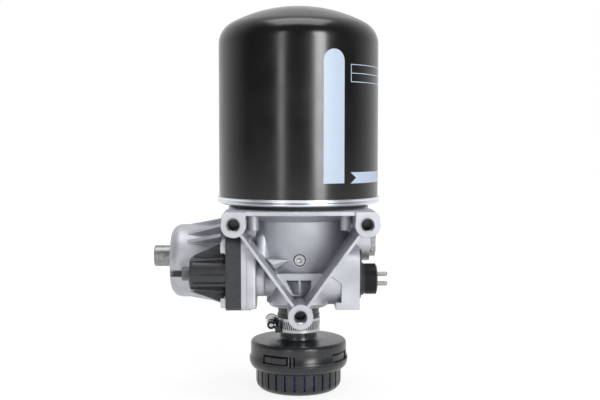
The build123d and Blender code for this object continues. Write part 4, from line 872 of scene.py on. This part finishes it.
core_end = -screw_tip - screw_slot[1]
core_profile = [
    (0, -screw_foot), (screw_crest - 0.1, -screw_foot), (screw_crest - 0.1, -screw_shoulder),
    (screw_root, 0.2 - screw_shoulder), (screw_root, core_end - 0.1),
    (screw_root + 0.2, core_end), (0, core_end)]
piece_from(
    joined([turned(core_profile, (0, *governor_axis), (-1, 0, 0), 48, closed=False),
            helix((barrel_end - 0.2, *governor_axis), (-1, 0, 0), screw_root, screw_crest,
                  screw_root - 0.3, screw_pitch, core_end + barrel_end - 0.2, 48),
            split_tip((-core_end, *governor_axis), (-1, 0, 0), (0, 0, 1), screw_root + 0.3,
                      screw_slot)]),
    "adjusting_screw_threaded", black_oxide, "dryer", "black_oxide", 25, "adjusting_screw")
piece_from(
    hexagon_body((0, *governor_axis), (-1, 0, 0), (0, 0, 1), locknut_flats, -barrel_end,
                 locknut_height - barrel_end, True),
    "adjusting_locknut_eased", black_oxide, "dryer", "black_oxide", 25, "adjusting_locknut")

# Heater flange and connector. Black nylon mouldings; the connector has an M27 thread
# for the cable's coupling ring.
wear(glass_nylon, "heater_flange")
connector_axis = (75.0, -53.0)
connector_start = 53.3
connector_profile = [
    (0, 0), (14.1, 0), (14.1, 2.4), (12.9, 3.0), (12.9, 13.0), (12.2, 13.8), (11.6, 14.2),
    (9.5, 14.2), (9.5, 12.2), (0, 12.2),
]
connector_thread_start = connector_start + 3.2
connector_thread = {"root": 12.85, "crest": 13.5, "back": 12.5, "pitch": 1.1, "length": 9.9}

# Connector moulding: deeper black and smoother than the covers.
connector_nylon, tree, shader, place = new_finish("black connector nylon", {
    "Base Color": linear("#1f2022"), "Roughness": 0.36, "IOR": 1.53,
})
skin = add_node(tree, "TexNoise", {"Scale": 1 / (2 * MM), "Detail": 3.0}, {"Vector": place})
gloss = add_node(tree, "MapRange", {"To Min": 0.3, "To Max": 0.44}, {"Value": skin.outputs["Fac"]})
connect(shader, {"Roughness": gloss.outputs["Result"]})

piece_from(
    turned(connector_profile, (connector_start, *connector_axis), (1, 0, 0), 96, closed=False),
    "heater_connector_body", connector_nylon, "dryer", "connector_black", 30, "heater_connector")
piece_from(
    helix((connector_thread_start, *connector_axis), (1, 0, 0), segments=64, **connector_thread),
    "heater_connector_thread", connector_nylon, "dryer", "connector_black", 30)

# Contact pins of the heater connector. Brass, turned with round ends, tinned, and set
# in the moulding.

# Tin plate: pale and softly bright.
tinned, tree, shader, place = new_finish("tinned brass", {
    "Metallic": 1.0, "Base Color": linear("#a4a39f"), "Roughness": 0.4,
})
smear = add_node(tree, "TexNoise", {"Scale": 1 / (1.5 * MM), "Detail": 2.0}, {"Vector": place})
gloss = add_node(tree, "MapRange", {"To Min": 0.34, "To Max": 0.48},
                 {"Value": smear.outputs["Fac"]})
connect(shader, {"Roughness": gloss.outputs["Result"]})
wear(tinned, "heater_pins")

# Sealing washer under the side plug. Soft aluminium, stamped from sheet and squeezed flat
# as the plug is tightened.
wear(cut_aluminium, "port_plug_seal")

# Silencer. Two black nylon mouldings: a cover with a clamped neck, and a slotted cage whose
# four hooks snap into the cover's windows.
latch_window = (-47.45, -13.75)
latch_windows = [tuple(edge + 90 * k for edge in latch_window) for k in range(4)]
latch_levels = (-112.8, -120.2)
latch_slit_gaps = (2.0, 6.5)
latch_slit_width = 1.6
latch_slit_levels = (-112.8, -121.2)
neck_slit = (20.5, 24.0)
neck_slit_levels = (-85.5, -101.5)
tongue_start = 1.4
tongue_margins = 3.6
tongue_steps = 16

# Silencer moulding: charcoal nylon with a polished tool finish, so that it mirrors softly.
silencer_nylon, tree, shader, place = new_finish("polished black nylon", {
    "Base Color": linear("#202124"), "Roughness": 0.3, "IOR": 1.53,
})
mottle = add_node(tree, "TexNoise", {"Scale": 1 / (3 * MM), "Detail": 4.0}, {"Vector": place})
tone = add_node(tree, "ValToRGB", {"stops": [(0.3, "#1c1d1f"), (0.7, "#27282b")]},
                {"Fac": mottle.outputs["Fac"]})
gloss = add_node(tree, "MapRange", {"To Min": 0.22, "To Max": 0.36},
                 {"Value": mottle.outputs["Fac"]})
rounded = add_node(tree, "Bevel", {"samples": 6, "Radius": 0.5 * MM})
bump = add_node(tree, "Bump", {"Strength": 0.08, "Distance": 0.06 * MM},
                {"Height": mottle.outputs["Fac"], "Normal": rounded.outputs["Normal"]})
connect(shader, {"Base Color": tone.outputs["Color"], "Roughness": gloss.outputs["Result"],
                 "Normal": bump.outputs["Normal"]})
wear(silencer_nylon, "silencer_cage", "silencer_baffle")

# Outer and inner points of the cover's wall, from the top of its neck to its lower edge.
wall_rows = (
    [((15.8, -84.0), (12.5, -84.0)), ((15.8, -85.5), (12.5, -85.5)),
     ((15.8, -101.5), (12.5, -101.5)), ((15.8, -102.8), (12.5, -104.0)),
     ((16.3, -104.0), (12.5, -106.0)), ((17.4, -104.5), (12.5, -107.2)),
     ((28.0, -104.8), (27.0, -107.2))]
    + list(zip(arc((38.6, -107.7), 2.7, 90, 0, 7), arc((37.6, -108.7), 1.5, 90, 0, 7)))
    + [((41.3, -112.8), (39.1, -112.8)), ((41.35, -117.4), (39.1, -117.4)),
       ((41.9, -118.4), (39.1, -118.4)), ((42.4, -119.4), (39.3, -119.4)),
       ((42.5, -120.2), (39.6, -120.2)), ((42.5, -121.2), (39.9, -121.2)),
       ((42.1, -121.5), (40.2, -121.5)), ((42.4, -121.8), (40.3, -121.8)),
       ((42.3, -123.4), (40.1, -123.4)), ((41.6, -125.6), (39.4, -125.6)),
       ((40.4, -127.4), (38.4, -127.4)), ((39.0, -128.6), (37.3, -128.6)),
       ((38.2, -129.0), (36.8, -129.0))]
)


def windowed_shell(rows, windows, spacing):
    """Shell turned from rows of (outer, inner) points, with windows cut through its wall.

    A window is its angles from the front, in degrees, and its upper and lower levels.
    """
    edges = {edge % 360 for angular, levels in windows for edge in angular}
    regular = {spacing * i for i in range(int(360 / spacing))}
    angles = sorted({a for a in regular if min(abs(a - e) for e in edges) > spacing / 3} | edges)
    count = len(angles)
    shape = bmesh.new()
    outer, inner = [
        [[shape.verts.new(round_can(row[side][0], radians(a), row[side][1])) for a in angles]
         for row in rows]
        for side in (0, 1)]

    def is_open(k, i):
        """Whether the cell under row k and after angle i lies in a window."""
        if not 0 <= k < len(rows) - 1:
            return False
        level = (rows[k][0][1] + rows[k + 1][0][1]) / 2
        after = angles[(i + 1) % count] + (360 if i == count - 1 else 0)
        middle = (angles[i] + after) / 2
        return any((middle - angular[0]) % 360 < angular[1] - angular[0]
                   and levels[1] < level < levels[0] for angular, levels in windows)

    for k in range(len(rows) - 1):
        for i in range(count):
            j = (i + 1) % count
            if is_open(k, i):
                continue
            shape.faces.new([outer[k][i], outer[k][j], outer[k + 1][j], outer[k + 1][i]])
            shape.faces.new([inner[k][i], inner[k + 1][i], inner[k + 1][j], inner[k][j]])
            if is_open(k, j):
                shape.faces.new([outer[k][j], outer[k + 1][j], inner[k + 1][j], inner[k][j]])
            if is_open(k, (i - 1) % count):
                shape.faces.new([outer[k][i], outer[k + 1][i], inner[k + 1][i], inner[k][i]])
            if k == 0 or is_open(k - 1, i):
                shape.faces.new([outer[k][i], outer[k][j], inner[k][j], inner[k][i]])
            if k == len(rows) - 2 or is_open(k + 1, i):
                shape.faces.new([outer[k + 1][i], outer[k + 1][j],
                                 inner[k + 1][j], inner[k + 1][i]])
    bmesh.ops.recalc_face_normals(shape, faces=shape.faces)
    return shape


cuts = [(window, latch_levels) for window in latch_windows]
cuts += [((window[1] + gap, window[1] + gap + latch_slit_width), latch_slit_levels)
         for window in latch_windows for gap in latch_slit_gaps]
cuts.append((neck_slit, neck_slit_levels))
piece_from(windowed_shell(wall_rows, cuts, 2.5), "silencer_cover_moulding",
           silencer_nylon, "dryer", "silencer_nylon", 38, "silencer_cover")

# Tongues of the cage's hooks, which snap up into the windows and nearly fill them.
tongue_section = [(37.4, -121.0), (40.4, -121.0), (40.8, -120.0), (40.3, -114.6), (39.6, -114.0),
                  (37.4, -114.0)]
shape = bmesh.new()
for first, last in latch_windows:
    tongue_reach = last - first - tongue_margins
    turns = [radians(first + tongue_start + tongue_reach * i / tongue_steps)
             for i in range(tongue_steps + 1)]
    skinned(shape, [[shape.verts.new(round_can(radius, turn, level))
                     for radius, level in tongue_section] for turn in turns])
piece_from(shape, "silencer_latch_tongues", silencer_nylon, "dryer", "silencer_nylon", 30)

# Damping ring of the silencer. A knitted tube of blue plastic yarn, seen through the
# slots of the cage.

# Knitted yarn: loops about 2.2 mm across, painted lighter at their middles as painted highlight,
# with painted shade in the gaps between them.
knit, tree, shader, place = new_finish("blue knitted plastic", {
    "Base Color": linear("#3a50c0"), "Roughness": 0.55, "Sheen Weight": 0.2,
})
stitch = add_node(tree, "TexVoronoi", {"Scale": 1 / (2.2 * MM)}, {"Vector": place})
# Painted highlight on each loop and painted shade in the gaps between loops.
tone = add_node(tree, "ValToRGB", {"stops": [(0.0, "#5f80ff"), (1.0, "#182050")]},
                {"Fac": stitch.outputs["Distance"]})
bump = add_node(tree, "Bump", {"Strength": 1.0, "Distance": 0.8 * MM, "invert": True},
                {"Height": stitch.outputs["Distance"]})
connect(shader, {"Base Color": tone.outputs["Color"], "Normal": bump.outputs["Normal"]})
wear(knit, "silencer_mesh")

# Studio. The dryer stands on its silencer on a plain pale floor, in front of white,
# under two large soft boxes and a broad top light.
floor_level = -148.0
floor_reach = 4.0
dryer_middle = (0, 0.05, 0.0)

# Matt white floor that shows the object's soft shadow.
paper, tree, shader, place = new_finish("white studio floor", {
    "Base Color": linear("#e9e9e9"), "Roughness": 0.9,
})
rays = add_node(tree, "LightPath")
seen = add_node(tree, "Math", {"operation": "MAXIMUM"},
                {0: rays.outputs["Is Camera Ray"], 1: rays.outputs["Is Glossy Ray"]})
seen = add_node(tree, "Math", {"operation": "MAXIMUM"},
                {0: seen.outputs["Value"], 1: rays.outputs["Is Transmission Ray"]})
matt = add_node(tree, "BsdfDiffuse", {"Color": linear("#787878")})
reach = add_node(tree, "VectorMath", {"operation": "LENGTH"}, {0: place})
fade = add_node(tree, "MapRange",
                {"From Min": 0.35, "From Max": 1.1, "To Min": 0.86, "To Max": 1.0},
                {"Value": reach.outputs["Value"]})
glow = add_node(tree, "Emission", {"Color": linear("#ffffff")},
                {"Strength": fade.outputs["Result"]})
lifted = add_node(tree, "AddShader", links={0: matt.outputs["BSDF"], 1: glow.outputs["Emission"]})
shown = add_node(tree, "MixShader", links={
    0: seen.outputs["Value"], 1: shader.outputs["BSDF"], 2: lifted.outputs["Shader"]})
connect(tree.nodes["Material Output"], {"Surface": shown.outputs["Shader"]})

shape = bmesh.new()
bmesh.ops.create_grid(shape, x_segments=8, y_segments=8, size=floor_reach)
floor = object_from(shape, "studio_floor", paper)
floor.location = (0, stand_off * MM, floor_level * MM)

# Room round the dryer: white to the camera, darker in what it lights and mirrors.
world = bpy.data.worlds.new("white studio")
bpy.context.scene.world = world
world.use_nodes = True
tree = world.node_tree
background = tree.nodes["Background"]
background.inputs["Color"].default_value = linear("#ffffff")
rays = add_node(tree, "LightPath")
seen = add_node(tree, "Math", {"operation": "MAXIMUM"},
                {0: rays.outputs["Is Camera Ray"], 1: rays.outputs["Is Transmission Ray"]})
place = add_node(tree, "TexCoord").outputs["Generated"]
split = add_node(tree, "SeparateXYZ", links={"Vector": place})
room = add_node(tree, "MapRange",
                {"From Min": -0.4, "From Max": 0.6, "To Min": 0.15, "To Max": 0.5},
                {"Value": split.outputs["Y"]})
mirrored = add_node(tree, "MapRange",
                    {"From Min": -0.2, "From Max": 0.6, "To Min": 0.12, "To Max": 0.95},
                    {"Value": split.outputs["Y"]})
shared = add_node(tree, "Mix", {"data_type": "FLOAT"},
                  {"Factor": rays.outputs["Is Glossy Ray"], "A": room.outputs["Result"],
                   "B": mirrored.outputs["Result"]})
level = add_node(tree, "Mix", {"data_type": "FLOAT", "B": 1.0},
                 {"Factor": seen.outputs["Value"], "A": shared.outputs["Result"]})
connect(background, {"Strength": level.outputs["Result"]})


def soft_box(name, place, size, power):
    """Rectangular lamp that faces the dryer; place and size are in metres."""
    lamp = bpy.data.lights.new(name, "AREA")
    lamp.shape = "RECTANGLE"
    lamp.size, lamp.size_y = size
    lamp.energy = power
    box = bpy.data.objects.new(name, lamp)
    box.location = place
    box.rotation_euler = (Vector(dryer_middle) - Vector(place)).to_track_quat("-Z", "Y").to_euler()
    bpy.context.scene.collection.objects.link(box)


soft_box("left_strip_box", (-0.85, -1.75, 0.35), (0.26, 1.6), 7)
soft_box("right_strip_box", (0.98, -1.7, 0.35), (0.55, 1.6), 34)
soft_box("top_box", (0.0, -0.1, 1.6), (1.4, 1.0), 16)

# Camera at the photograph's place: level with the housing, a little left of the middle.
focal = 960.0
picture_width = 600.0
camera_place = (-0.0189, -0.751, 0.06535)
camera_tilt = 3.457
camera_turn = -1.40
view = bpy.data.cameras.new("camera")
view.sensor_width = 36.0
view.lens = focal / picture_width * view.sensor_width
camera = bpy.data.objects.new("camera", view)
camera.location = camera_place
camera.rotation_euler = (radians(90 - camera_tilt), 0, radians(camera_turn))
bpy.context.scene.collection.objects.link(camera)
bpy.context.scene.camera = camera
bpy.context.scene.view_settings.view_transform = "Standard"
